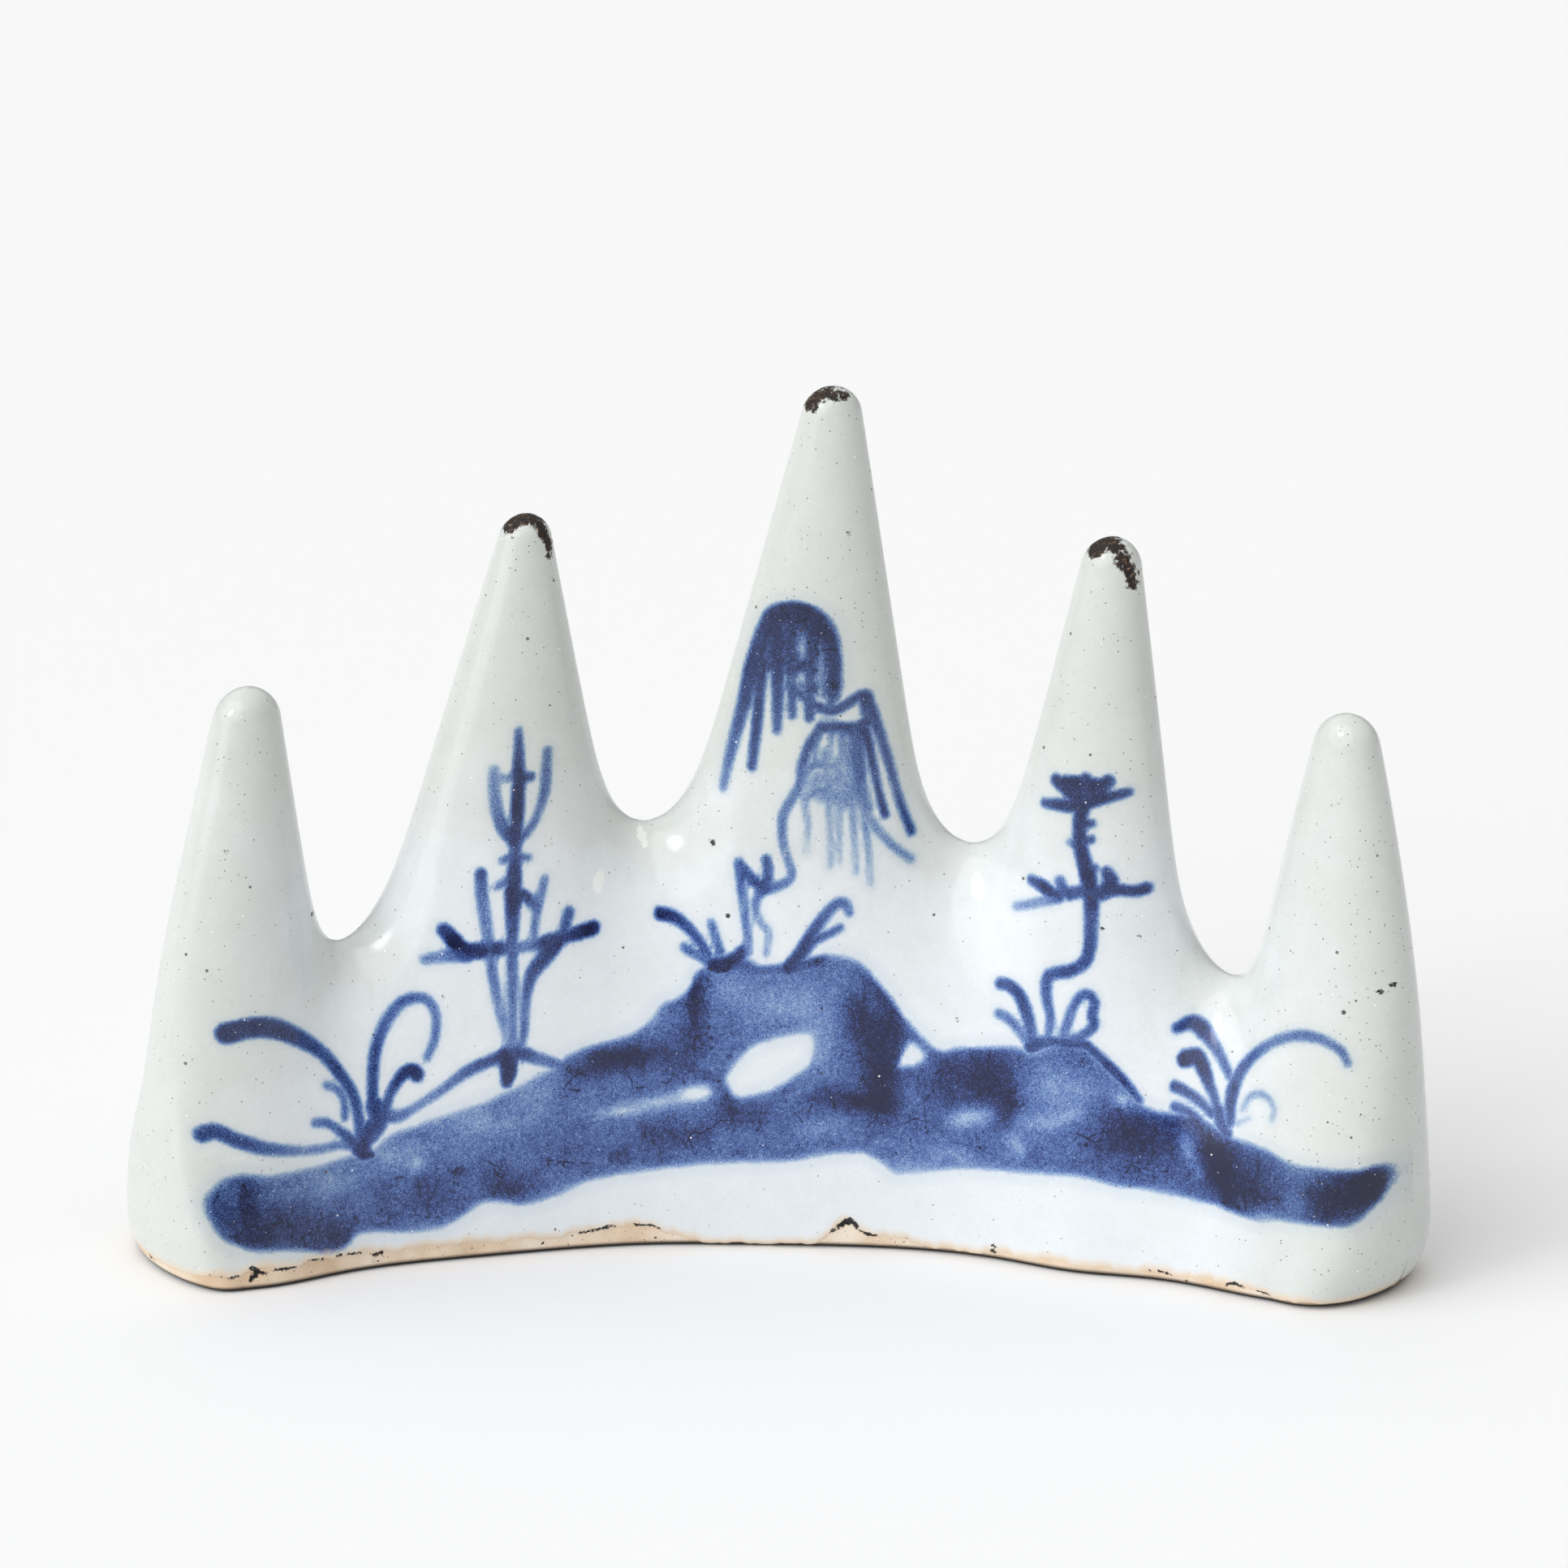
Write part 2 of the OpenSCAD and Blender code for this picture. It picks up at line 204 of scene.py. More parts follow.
def plan_middle():
    """Middle of the glazed outline seen from above, as the part's source finds it."""
    xs, ys = [], []
    share = np.arange(-1, 1.0001, 0.01)
    s = share * HALF_LEN
    glaze_edge = CAD_GLAZE_LOW + (CAD_GLAZE_ENDS - CAD_GLAZE_LOW) * share**2
    for z in (glaze_edge, np.full(s.shape, CORNER_H)):
        q = wall_sq(s, z)
        for side in (-1, 1):
            x, y = bow(s[q > 0], side * np.sqrt(q[q > 0]))
            xs.append(x)
            ys.append(y)
    return [(v.min() + v.max()) / 2 for v in (np.concatenate(xs), np.concatenate(ys))]


MIDDLE = plan_middle()


def place(s, d, z):
    """Points in metres of places on or in the wall."""
    x, y = bow(s, d)
    return np.stack([x - MIDDLE[0], y - MIDDLE[1], z], axis=-1) * MM


def normals(s, d, z):
    """Outward direction from the wall's formula: the gradient of d^2 - wall_sq(s, z) in the bowed frame."""
    e = 0.01
    along = -(wall_sq(s + e, z) - wall_sq(s - e, z)) / (2 * e) * BOW_R / (BOW_R + d)
    up = -(wall_sq(s, z + e) - wall_sq(s, z - e)) / (2 * e)
    out = 2 * d
    a = s / BOW_R
    n = np.stack([along * np.cos(a) + out * np.sin(a), out * np.cos(a) - along * np.sin(a), up], axis=-1)
    return n / np.maximum(np.linalg.norm(n, axis=-1, keepdims=True), 1e-9)


def wall_grid(i, columns, low, high, foot, side, depth=0.0, lip=None, rounded=True):
    """Grid of one peak's patch as arrays s, d, z with one row for each entry of low and high.

    Low rows rise from the height foot(s) to the line between the valleys, high rows from there to
    the tip. lip gives the first rows' shares of a rounded lower edge. Columns lie closer together
    at both flanks, with places (1 - cos(pi f)) / 2 of the way across.
    """
    first, last = i == 0, i == len(PEAKS) - 1
    left = -HALF_LEN if first else VALLEYS[i - 1]
    right = HALF_LEN if last else VALLEYS[i]
    left_v = float(top_at(VALLEYS[max(i - 1, 0)], depth))
    right_v = float(top_at(VALLEYS[min(i, len(VALLEYS) - 1)], depth))
    peak = PEAKS[i]
    tip = float(top_at(peak["x"], depth, peak["h"] / 2, peak["h"] + peak["r"]))
    f = (1 - np.cos(np.linspace(0, math.pi, columns + 1))) / 2
    level = (1 - np.cos(math.pi * f)) / 2
    lip = np.zeros(0) if lip is None else lip
    drawn = np.concatenate([GLAZE_T * (1 - lip) ** 2, np.zeros(len(low) + len(high))])
    lift = LIP_H if len(lip) else 0.0

    def heights(v, base):
        """Heights of a flank's rows: the lip above base, then up to v, then up to the tip."""
        low_z = base + lift + (v - base - lift) * low
        return np.concatenate([base + lift * lip, low_z, v + (tip - v) * high])

    def flank(z, outside, is_open):
        """Places of a flank: where skin_sq is zero between the peak's leaning middle and outside."""
        t = np.maximum(peak["h"] - tip_drop(peak, depth) - z, 0)
        middle = peak["x"] + peak["lean"] * t / (1 + (t / peak["reach"]) ** 4) ** 0.25
        s = halve(middle, np.full(z.shape, outside), lambda x: skin_sq(x, z, depth + 0 * x, rounded))
        if not is_open:
            s[: len(lip) + len(low)] = outside
        return s

    zl, zr = heights(left_v, float(foot(left))), heights(right_v, float(foot(right)))
    sl = flank(zl, left - 1 if first else left, first)
    sr = flank(zr, right + 1 if last else right, last)
    sl[-1] = sr[-1] = peak["x"]
    s = sl[:, None] + (sr - sl)[:, None] * f
    base = foot(s)
    top = left_v + (right_v - left_v) * level
    n_low = len(lip) + len(low)
    z = zl[:, None] + (zr - zl)[:, None] * level
    shares = np.concatenate([lip * 0, low])[:, None]
    z[:n_low] = base[:n_low] + lift * np.concatenate([lip, low * 0 + 1])[:, None]
    z[:n_low] += (top - base[:n_low] - lift) * shares
    q = skin_sq(s, z, depth + drawn[:, None], rounded)
    d = np.sqrt(np.maximum(q, 0))
    if first:
        d[:, 0] = 0
    if last:
        d[:, -1] = 0
    d[n_low - 1 :, [0, -1]] = 0
    d[-1] = 0
    return s, side * d, z, np.broadcast_to(drawn[:, None], s.shape)


def quads(rows, columns, start, flip):
    """Faces of a grid of points numbered row by row from start."""
    a = start + np.arange(rows)[:, None] * (columns + 1) + np.arange(columns)
    corners = [a, a + 1, a + columns + 2, a + columns + 1]
    return np.stack(corners[::-1] if flip else corners, axis=-1).reshape(-1, 4)


def new_mesh(name, points, faces, directions=None, values=None):
    """Object with the given points in metres, smooth faces, point directions and point values."""
    mesh = bpy.data.meshes.new(name)
    mesh.vertices.add(len(points))
    mesh.vertices.foreach_set("co", points.astype(np.float32).ravel())
    mesh.loops.add(faces.size)
    mesh.loops.foreach_set("vertex_index", faces.astype(np.int32).ravel())
    mesh.polygons.add(len(faces))
    mesh.polygons.foreach_set("loop_start", np.arange(0, faces.size, faces.shape[1], dtype=np.int32))
    mesh.update(calc_edges=True)
    mesh.polygons.foreach_set("use_smooth", np.ones(len(faces), bool))
    for key, value in (values or {}).items():
        attribute = mesh.attributes.new(key, "FLOAT", "POINT")
        attribute.data.foreach_set("value", value.astype(np.float32).ravel())
    if directions is not None:
        mesh.normals_split_custom_set_from_vertices(directions)
    obj = bpy.data.objects.new(name, mesh)
    bpy.context.scene.collection.objects.link(obj)
    return obj


# Heights of the glaze's lower edge: (place along the rest, height), front and back
FRONT_EDGE = [
    (-80, 1.5), (-77, 1.6), (-75, 2.3), (-73, 1.9), (-70, 2.6), (-65, 2.2), (-63, 2.4), (-60.5, 2.3),
    (-58.5, 2.5), (-56, 2.3), (-50, 2.0), (-45.5, 2.2), (-40.5, 2.1), (-35, 1.9), (-29, 1.8),
    (-26, 2.2), (-22.3, 2.6), (-19, 2.7), (-16.6, 2.5), (-15, 1.8), (-13, 1.1), (-10.3, 0.6),
    (-8, 0.35), (3, 0.35), (4.6, 0.7), (5.7, 1.2), (6.4, 2.0), (7.1, 2.6), (7.9, 3.1), (8.8, 3.3),
    (9.6, 3.0), (10.2, 2.3), (12.3, 1.8), (14.4, 1.5), (17.3, 1.3), (19.7, 0.8), (24, 0.6), (28, 1.0),
    (31, 1.0), (37.5, 1.3), (40.5, 1.1), (45, 0.9), (50.3, 1.2), (55.5, 1.2), (60, 1.4), (61, 1.5),
    (63, 1.2), (66, 0.9), (70.5, 0.7), (75, 0.6), (80, 1.5),
]  # fmt: skip
BACK_EDGE = [
    (-80, 1.5), (-60, 2.4), (-30, 1.6), (0, 2.2), (30, 1.4), (60, 2.3), (73, 0.9), (75, 0.6), (80, 1.5),
]  # fmt: skip
# Waves of the edge: turns for each mm, height in mm, turn at the middle
EDGE_WAVES = [(0.9, 0.16, 0.4), (2.3, 0.1, 1.9), (4.1, 0.06, 3.1)]
CALM_END = 4
LOWEST_EDGE = 0.2


def edge_height(s, marks):
    """Height of the glaze's lower edge: the marks joined up, plus small waves that fade at both ends."""
    at, up = np.array(marks, float).T
    calm = np.clip((HALF_LEN - CALM_END - np.abs(s)) / CALM_END, 0, 1)
    wave = sum(high * np.sin(rate * s + turn) for rate, high, turn in EDGE_WAVES)
    return np.maximum(np.interp(s, at, up) + calm * wave, LOWEST_EDGE)


# The painting: strokes as (tones along it, widths along it, [(place along the rest, height), ...])
TUFT_LEFT = [
    ((0.95, 0.85, 0.75), (2.4, 2.3, 1.5, 1.4, 1.3), [(-70.6, 30.5), (-67.5, 30.9), (-64.6, 30.4),
     (-61.5, 28.8), (-58.3, 26.4), (-56.4, 23.8), (-55, 21.2), (-54.5, 18), (-54.7, 15)]),
    ((0.85, 0.75, 0.6, 0.65), (1.7, 1.6, 1.0, 0.9), [(-74.5, 18.8), (-72.9, 19.1), (-70.5, 17.9),
     (-67, 16.6), (-63.5, 15.9), (-60.5, 15.6), (-57.5, 15.7), (-55.2, 15.4)]),
    ((0.65, 0.75, 0.9), (1.0, 1.0, 1.6), [(-60.3, 18.7), (-58.8, 18.5), (-57, 17.2), (-55.2, 15.4)]),
    ((0.6, 0.7), (0.9, 0.9), [(-58.3, 22.8), (-57, 22.1), (-56.2, 20.8), (-56.3, 18.9)]),
    ((0.85, 0.75, 0.65), (1.3, 1.3, 1.1, 0.9), [(-52.6, 19.4), (-52.4, 22.3), (-51.8, 25.5),
     (-50.9, 27.7), (-49.5, 29.8), (-47.9, 31.3), (-46.2, 31.9), (-44.8, 31.6), (-44, 30.2),
     (-44, 28.4), (-44.5, 26.6), (-45.4, 25)]),
    ((0.8, 0.75, 0.95, 1.0), (1.2, 1.1, 1.2, 1.7), [(-51.4, 18.4), (-50.4, 20.8), (-49.3, 22.4),
     (-48.2, 23.4), (-47.2, 23.5), (-46.8, 23.1)]),
    ((0.95, 0.8, 0.6, 0.65, 0.8, 0.9), (2.2, 1.8, 1.0, 1.0, 1.3, 1.3), [(-54.6, 15), (-53, 17.3),
     (-51.5, 18.4), (-49.3, 18.4), (-47.1, 19.3), (-45.2, 20.3), (-42.9, 21.6), (-40.9, 22.9),
     (-38.4, 23.9), (-36, 24.6)]),
    ((0.85, 0.8), (2.4, 1.6), [(-52.3, 19.6), (-52, 17.8), (-53, 16.3)]),
    ((1.0, 0.95), (1.9, 1.0), [(-54.8, 14.9), (-54.3, 14.3), (-53.3, 14.1)]),
]
REED = [
    ((1.0, 1.0), (2.4, 2.2, 1.4), [(-35.3, 24.6), (-35.1, 23.2), (-35.4, 21.5)]),
    ((0.95, 0.85), (1.6, 1.6), [(-36, 24.7), (-34.2, 25), (-32.6, 24.6)]),
    ((0.75, 0.7, 0.9), (1.5, 1.3, 1.3), [(-33, 24.7), (-30, 23.6), (-27.7, 22.7), (-25.6, 22),
     (-24.5, 21.6)]),
    ((0.75, 0.95, 1.0, 0.85, 1.0, 0.8, 0.7, 0.66, 0.66), (0.8, 1.5, 1.6, 1.4, 2.1, 1.4, 1.3, 1.2, 1.3),
     [(-32.3, 63), (-32.4, 60), (-32.6, 56), (-32.9, 52), (-33.1, 49.5), (-33.4, 46.5), (-33.7, 43),
     (-34, 38), (-34.2, 33), (-34.4, 29), (-34.7, 25)]),
    ((0.85, 1.0, 0.9), (0.8, 1.2, 0.9), [(-33.2, 57.7), (-32, 57.6), (-30.9, 57.5)]),
    ((1.0, 1.0), (1.9, 1.9), [(-33.4, 51), (-33.2, 50)]),
    ((0.6, 0.6), (0.9, 0.7), [(-35, 57.6), (-33.4, 57.4)]),
    ((0.7, 0.85, 0.75), (0.9, 1.1, 0.7), [(-34.8, 47.8), (-33, 48.1), (-31.5, 47.9)]),
    ((0.6, 0.8), (0.9, 1.2), [(-35.6, 44.7), (-34.4, 45.2), (-33.4, 45)]),
    ((0.9, 0.9, 0.75), (1.1, 1.3, 1.0), [(-32.9, 44), (-31.7, 43), (-30.9, 41.7)]),
    ((0.65, 0.7, 0.7, 0.6), (0.9, 1.0, 0.9, 0.9), [(-29.6, 45.2), (-30.1, 43.4), (-30.8, 41.2),
     (-31.2, 39), (-31.4, 37.6)]),
    ((0.6, 0.6, 0.7, 0.85), (1.2, 1.4, 1.5, 1.6), [(-35.4, 58.4), (-35.5, 56.5), (-35.3, 54),
     (-34.8, 52), (-34, 50.8), (-33.2, 50.2)]),
    ((0.65, 0.7, 0.65, 0.8), (1.1, 1.3, 1.0, 0.9), [(-28.8, 60.3), (-29, 58), (-29.3, 55.6),
     (-30, 53.6), (-30.8, 52), (-31.8, 50.8), (-32.6, 50.3)]),
    ((0.9, 0.65, 0.6, 0.7, 0.6, 0.55), (1.3, 1.5, 1.3, 1.2, 1.2, 0.9), [(-37.5, 46.2), (-37.5, 44),
     (-37.3, 41.5), (-37, 39), (-36.8, 36.8), (-36.6, 34), (-36.1, 31), (-35.6, 28.5), (-35, 26.2)]),
    ((0.9, 1.0, 1.0), (1.6, 1.9, 1.6), [(-42.2, 39.6), (-41.2, 38.5), (-40.2, 37.5)]),
    ((1.0, 0.95, 1.0, 0.65, 0.65, 0.9, 0.85, 0.95, 1.0), (1.5, 1.9, 1.8, 1.3, 1.3, 1.8, 1.5, 1.6, 1.6),
     [(-40.2, 37.4), (-38.3, 37.2), (-36.3, 37.4), (-34.6, 37.4), (-32.7, 37.5), (-30.6, 37.6),
     (-28.6, 38), (-26.2, 38.4), (-24.5, 38.7), (-23.6, 38.9)]),
    ((1.6, 1.6), (1.3, 1.2), [(-41.1, 38.2), (-40.7, 37.8)]),
    ((1.5, 1.5), (0.9, 0.9), [(-24.5, 38.6), (-24.1, 38.7)]),
    ((0.55, 0.6, 0.85), (1.1, 1.4, 1.4), [(-44.7, 36.2), (-43.2, 36.5), (-41.6, 36.7), (-39.6, 36.7)]),
    ((0.75, 0.75), (1.4, 1.3), [(-26.7, 41), (-27.1, 39.8), (-27.4, 38.5)]),
    ((0.95, 0.85, 0.8, 0.75, 0.75, 0.7), (1.6, 1.9, 1.5, 1.0, 1.0, 0.9), [(-28.2, 37.6), (-29.5, 36.4),
     (-30.6, 35.4), (-31.6, 34.3), (-32.3, 32.5), (-32.6, 30.8), (-32.8, 29), (-33, 27.4),
     (-33.5, 25.5)]),
]
ROCK_TUFTS = [
    ((1.0, 0.85, 0.8, 0.75), (1.4, 1.3, 1.2, 1.2), [(-15.2, 40.1), (-13.4, 39.7), (-11.6, 38.4),
     (-10.3, 36.9), (-9.3, 35.4)]),
    ((0.7, 0.75), (1.0, 1.0), [(-12.3, 36.3), (-10.9, 35.6), (-9.5, 34.9)]),
    ((0.65, 0.75), (1.0, 1.1), [(-8.9, 39.2), (-8.4, 37.7), (-7.8, 36)]),
    ((1.0, 0.95, 0.9), (1.8, 1.9, 1.4), [(-8.8, 34.4), (-7.3, 34.4), (-5.6, 35.4), (-5, 36.2)]),
    ((0.8, 0.8), (1.2, 1.2), [(-6, 34.4), (-3, 33.9), (0, 34.1)]),
    ((1.0, 0.85, 0.75, 0.7), (1.8, 1.4, 1.3, 1.0), [(0.9, 34.3), (2.2, 35.9), (3.6, 38.3), (5.2, 40.4),
     (6.7, 41.9), (7.8, 42.1), (8.4, 41)]),
    ((0.9, 0.75, 0.75), (1.4, 1.0, 0.9), [(2, 35.3), (3.9, 37.5), (5.7, 38.4), (7.3, 39.2)]),
    ((0.85, 0.8), (1.6, 1.3), [(1.2, 34.4), (3.5, 34.8), (5.5, 35.4)]),
]
WILLOW = [
    ((0.95, 0.95, 0.95), (2.0, 2.8, 2.0), [(-2.4, 73.5), (-1, 75.8), (1.5, 76.4), (3.8, 75.9),
     (5.3, 74)]),
    ((0.95, 0.92, 0.8, 0.72, 0.62), (1.6, 2.0, 1.4, 1.2, 0.8), [(-2.6, 73.6), (-3.6, 70), (-4.6, 66),
     (-5.5, 62.6), (-6.5, 58.9), (-7.4, 54.8)]),
    ((0.92, 0.85, 0.85), (1.6, 1.3, 1.0), [(-2.4, 73), (-2.9, 67.4), (-3.3, 62.7), (-3.9, 57.8)]),
    ((0.95, 0.85, 0.75), (2.0, 1.7, 1.0), [(-0.9, 75), (-0.7, 68.5), (-0.8, 62.5)]),
    ((0.92, 0.85, 0.72), (1.4, 1.2, 1.0), [(0.8, 75.5), (0.9, 70), (1.1, 64.4)]),
    ((0.8, 0.8, 0.75), (1.5, 1.3, 1.2), [(3.3, 75.5), (3.2, 70), (3.2, 64.2)]),
    ((0.95, 0.88, 0.8), (1.5, 1.7, 1.3), [(5.6, 73.9), (6.2, 70.5), (5.9, 66.4)]),
    ((1.0, 1.0), (1.0, 1.0), [(1.5, 69.8), (2.7, 70.6), (3.8, 69.8)]),
    ((0.8, 0.85), (1.2, 1.1), [(0.6, 68), (2.5, 66.6), (3.9, 65.6), (5.9, 65), (7.5, 65.6), (9.2, 66.6),
     (10.2, 66.4)]),
    ((0.9, 0.8, 0.75, 0.9), (1.5, 1.0, 0.8, 0.8), [(9.8, 66.5), (10.8, 64), (11.7, 61.4), (12.5, 58.8),
     (13.4, 55.5), (14.3, 52.6), (15.4, 49.8)]),
    ((0.95, 0.9, 0.85, 0.95), (1.5, 1.0, 0.8, 0.8), [(8.2, 62.6), (9.8, 62.2), (10.6, 59.4),
     (11.3, 56.2), (11.9, 53.7), (12.4, 52.2)]),
    ((0.85, 0.9), (1.3, 1.2), [(4.6, 63), (6.6, 63), (8.5, 62.9), (10.3, 63.4)]),
    ((0.85, 0.75), (1.5, 1.2), [(9.9, 66), (10.2, 63.6)]),
    ((0.85, 0.75, 0.65, 0.65, 0.65, 0.7), (1.2, 1.3, 1.2, 1.0, 1.0, 1.1), [(4.7, 63), (3.3, 60.9),
     (2.4, 58.3), (2.1, 56), (0.8, 53.9), (0, 52.2), (0, 49.4), (0.7, 47), (1.1, 45.8), (0.8, 44.7),
     (-0.6, 44), (-2, 43.5)]),
    ((0.8, 0.8), (1.2, 1.3), [(-2, 47), (-1.8, 45.4), (-2.1, 43.8)]),
    ((0.75, 0.85, 0.85), (1.1, 1.3, 1.4), [(-5.4, 46.4), (-3.5, 44.4), (-2.1, 43.6)]),
    ((0.75, 0.7, 0.6), (1.2, 1.0, 1.0), [(-5.4, 46.4), (-5.1, 43.5), (-4.7, 40.4), (-4.3, 37.8),
     (-4.3, 36)]),
    ((0.7, 0.55, 0.5), (1.1, 0.9, 0.8), [(-2.8, 43.4), (-3.4, 41.4), (-2.8, 39.8), (-1.7, 38.4),
     (-2, 36)]),
    ((0.72, 0.7, 0.62), (1.9, 2.0, 1.5), [(8.7, 62.6), (9, 59), (9.3, 56), (10.2, 53)]),
    ((0.6, 0.68, 0.6), (0.9, 1.1, 0.8), [(2.5, 57.2), (3.9, 58.5), (5.7, 58.3), (7.4, 57.3)]),
    ((0.58, 0.68, 0.5), (0.8, 1.0, 0.8), [(2.7, 54.4), (4.7, 55.5), (6.6, 54.7), (7.2, 53.2)]),
    ((0.66, 0.5), (0.8, 0.7), [(4.5, 62.8), (4, 60.6), (3.9, 58.4)]),
    ((0.62, 0.46, 0.5), (0.8, 0.7, 0.7), [(5.9, 62.8), (5.8, 60.4), (5.7, 58.4)]),
    ((0.66, 0.52), (1.0, 0.8), [(7.3, 62.8), (7.2, 60.6), (7.3, 58)]),
    ((0.45, 0.45, 0.35), (1.1, 0.9, 0.7), [(2.7, 58), (2.7, 54.4), (3.1, 51.2), (2.9, 48.2)]),
    ((0.5, 0.45, 0.4), (1.2, 1.0, 0.7), [(5.2, 60), (5.6, 54.4), (5.9, 50.2), (5.9, 46.4)]),
    ((0.5, 0.45), (1.1, 0.6), [(6.6, 59), (6.9, 53.7), (7, 47)]),
    ((0.5, 0.5, 0.4), (1.2, 0.9, 0.6), [(8.1, 58), (8.5, 53.4), (8.8, 49.6), (9.1, 45.6)]),
    ((0.5, 0.55, 0.45), (1.1, 0.8, 0.6), [(9.4, 56), (9.9, 52.6), (10.6, 47.7), (10.9, 44.3)]),
    ((0.6, 0.55, 0.55), (1.1, 1.0, 0.9), [(7.5, 60.7), (8.3, 57.1), (9.4, 53.9), (11.2, 51),
     (13.4, 48.5), (15.6, 46.7)]),
]
PLANT_RIGHT = [
    ((0.9, 0.95, 1.0), (1.5, 1.7, 1.7), [(33.6, 58), (34.8, 57.3), (36.4, 56.4), (37.6, 55.9)]),
    ((0.85, 0.95, 1.0, 0.95, 0.9), (1.0, 1.5, 1.7, 1.3, 0.9), [(32.1, 55), (33.8, 55.2), (35.8, 55.4),
     (37.8, 56), (39.6, 56.6), (42.4, 57.3)]),
    ((0.9, 0.95), (1.5, 1.6), [(40.1, 58.6), (39.2, 57.6), (38.1, 56.6)]),
    ((0.85, 0.95), (1.4, 1.6), [(37.4, 58.7), (37, 57.3), (36.6, 56.3)]),
    ((0.95, 0.95), (2.4, 2.6, 2.2), [(35, 57.6), (37, 57.7), (38.9, 57.8)]),
    ((0.98, 0.9, 0.95, 0.98, 0.95, 0.82, 0.85, 0.85, 0.82, 0.8, 0.72, 0.66),
     (1.9, 1.7, 1.7, 2.0, 1.8, 1.6, 1.5, 1.4, 1.4, 1.4, 1.1, 1.0), [(37, 55.6), (36.9, 53), (37, 51),
     (37.4, 49.5), (38, 47.8), (38.5, 45.8), (38.8, 43.5), (38.9, 41), (38.9, 38.8), (38.4, 37.1),
     (36.8, 36), (35.1, 35.6), (33.9, 35), (33.7, 33.6), (34, 32), (34.5, 30.4), (34.4, 28.2)]),
    ((0.9, 0.8), (1.2, 0.9), [(37.2, 53.4), (38.4, 53.5)]),
    ((0.9, 0.8), (1.3, 0.9), [(37.3, 51.3), (38.4, 51.6)]),
    ((0.85, 0.6), (1.2, 0.8), [(36.9, 50.6), (35.7, 51)]),
    ((0.9, 0.8), (1.3, 1.0), [(38, 48.2), (38.9, 48.2)]),
    ((0.8, 0.95, 0.9), (1.1, 1.6, 1.5), [(30.9, 45.8), (32.3, 45.4), (33.6, 44.7), (34.6, 44.5)]),
    ((0.7, 0.8), (1.4, 1.5), [(34.7, 46.2), (35.2, 45.3), (36, 44.9)]),
    ((0.85, 0.8), (1.3, 1.6), [(35.8, 44.9), (37.5, 45.3), (38.6, 45)]),
    ((0.5, 0.55, 0.65), (1.0, 1.1, 1.1), [(29.1, 42.5), (30.8, 43), (32.9, 43.7), (34.3, 44.2)]),
    ((0.85, 0.9, 0.9), (1.3, 2.0, 1.6), [(40.4, 47.8), (40.9, 46.7), (40.4, 45.6), (39, 45)]),
    ((0.9, 0.9, 0.95), (1.4, 1.2, 1.3), [(40.6, 45.6), (42.1, 45.7), (43.5, 45.5), (44.7, 45.7)]),
    ((0.85, 0.8, 0.75), (1.2, 1.6, 1.4), [(27.6, 33.5), (28.9, 33.4), (30.3, 32.4), (31.3, 30.6),
     (32, 28.7), (32.3, 26.6)]),
    ((0.65, 0.65), (1.1, 1.2), [(27.7, 30), (28.9, 29.6), (30.3, 28.5), (31.4, 27.4)]),
    ((0.65, 0.7, 0.8, 0.85, 0.7), (1.3, 1.1, 1.1, 1.2, 1.0), [(36.4, 28.6), (37, 30.7), (37.6, 32.3),
     (38.5, 33.3), (39.5, 33.2), (40, 32.3), (39.8, 31), (40.1, 29.8), (38.8, 28.6), (37.4, 28)]),
    ((0.9, 0.8, 0.85, 0.9), (2.0, 1.3, 1.4, 1.2), [(32.2, 26.7), (34, 27.3), (36.5, 27.5),
     (39.2, 27.5)]),
    ((0.85, 0.95, 0.75), (1.1, 1.2, 0.9), [(39.4, 27.4), (41.2, 26.1), (43, 24.7), (45, 23),
     (46.6, 21.4)]),
]
TUFT_RIGHT = [
    ((0.85, 0.9, 0.75, 0.7), (1.2, 1.7, 1.2, 1.0), [(50.1, 30), (51.6, 30.6), (53.3, 29.8),
     (55.1, 28.3), (56.6, 26.8), (57.6, 25.6)]),
    ((1.0, 0.9, 0.8, 0.75), (1.9, 1.6, 1.1, 1.0), [(51.6, 26.7), (52.9, 27), (54, 25.9), (55.2, 24.1),
     (56.3, 22.4), (57, 20.2)]),
    ((0.9, 0.8, 0.8), (1.2, 1.1, 1.0), [(50.8, 23.5), (52.3, 23), (54.2, 22.2), (56, 21)]),
    ((0.75, 0.75), (1.2, 1.1), [(51.1, 21.2), (53, 20.7), (54.5, 20)]),
    ((0.75, 0.85, 0.75, 0.6, 0.6, 0.65, 0.65), (1.3, 1.7, 1.2, 1.1, 1.3, 1.2, 0.8), [(58.6, 20.5),
     (58.3, 23.5), (58.9, 26), (60, 27.8), (61.8, 29.6), (64, 31.1), (66.4, 32.1), (69.1, 32.4),
     (71.1, 32), (72.6, 31.2), (73.4, 29.9)]),
    ((0.4, 0.45, 0.35), (0.8, 0.9, 0.7), [(60.2, 22.3), (60.7, 23.7), (62.1, 24.4), (63.6, 24.1),
     (64.4, 23.1), (64.3, 21.9)]),
    ((0.4, 0.35), (0.7, 0.6), [(59.7, 20.6), (61.1, 21.4)]),
    ((0.8, 0.8), (1.5, 1.4), [(56.8, 21.5), (57.4, 20), (58.4, 19)]),
]
STROKES = TUFT_LEFT + REED + ROCK_TUFTS + WILLOW + PLANT_RIGHT + TUFT_RIGHT

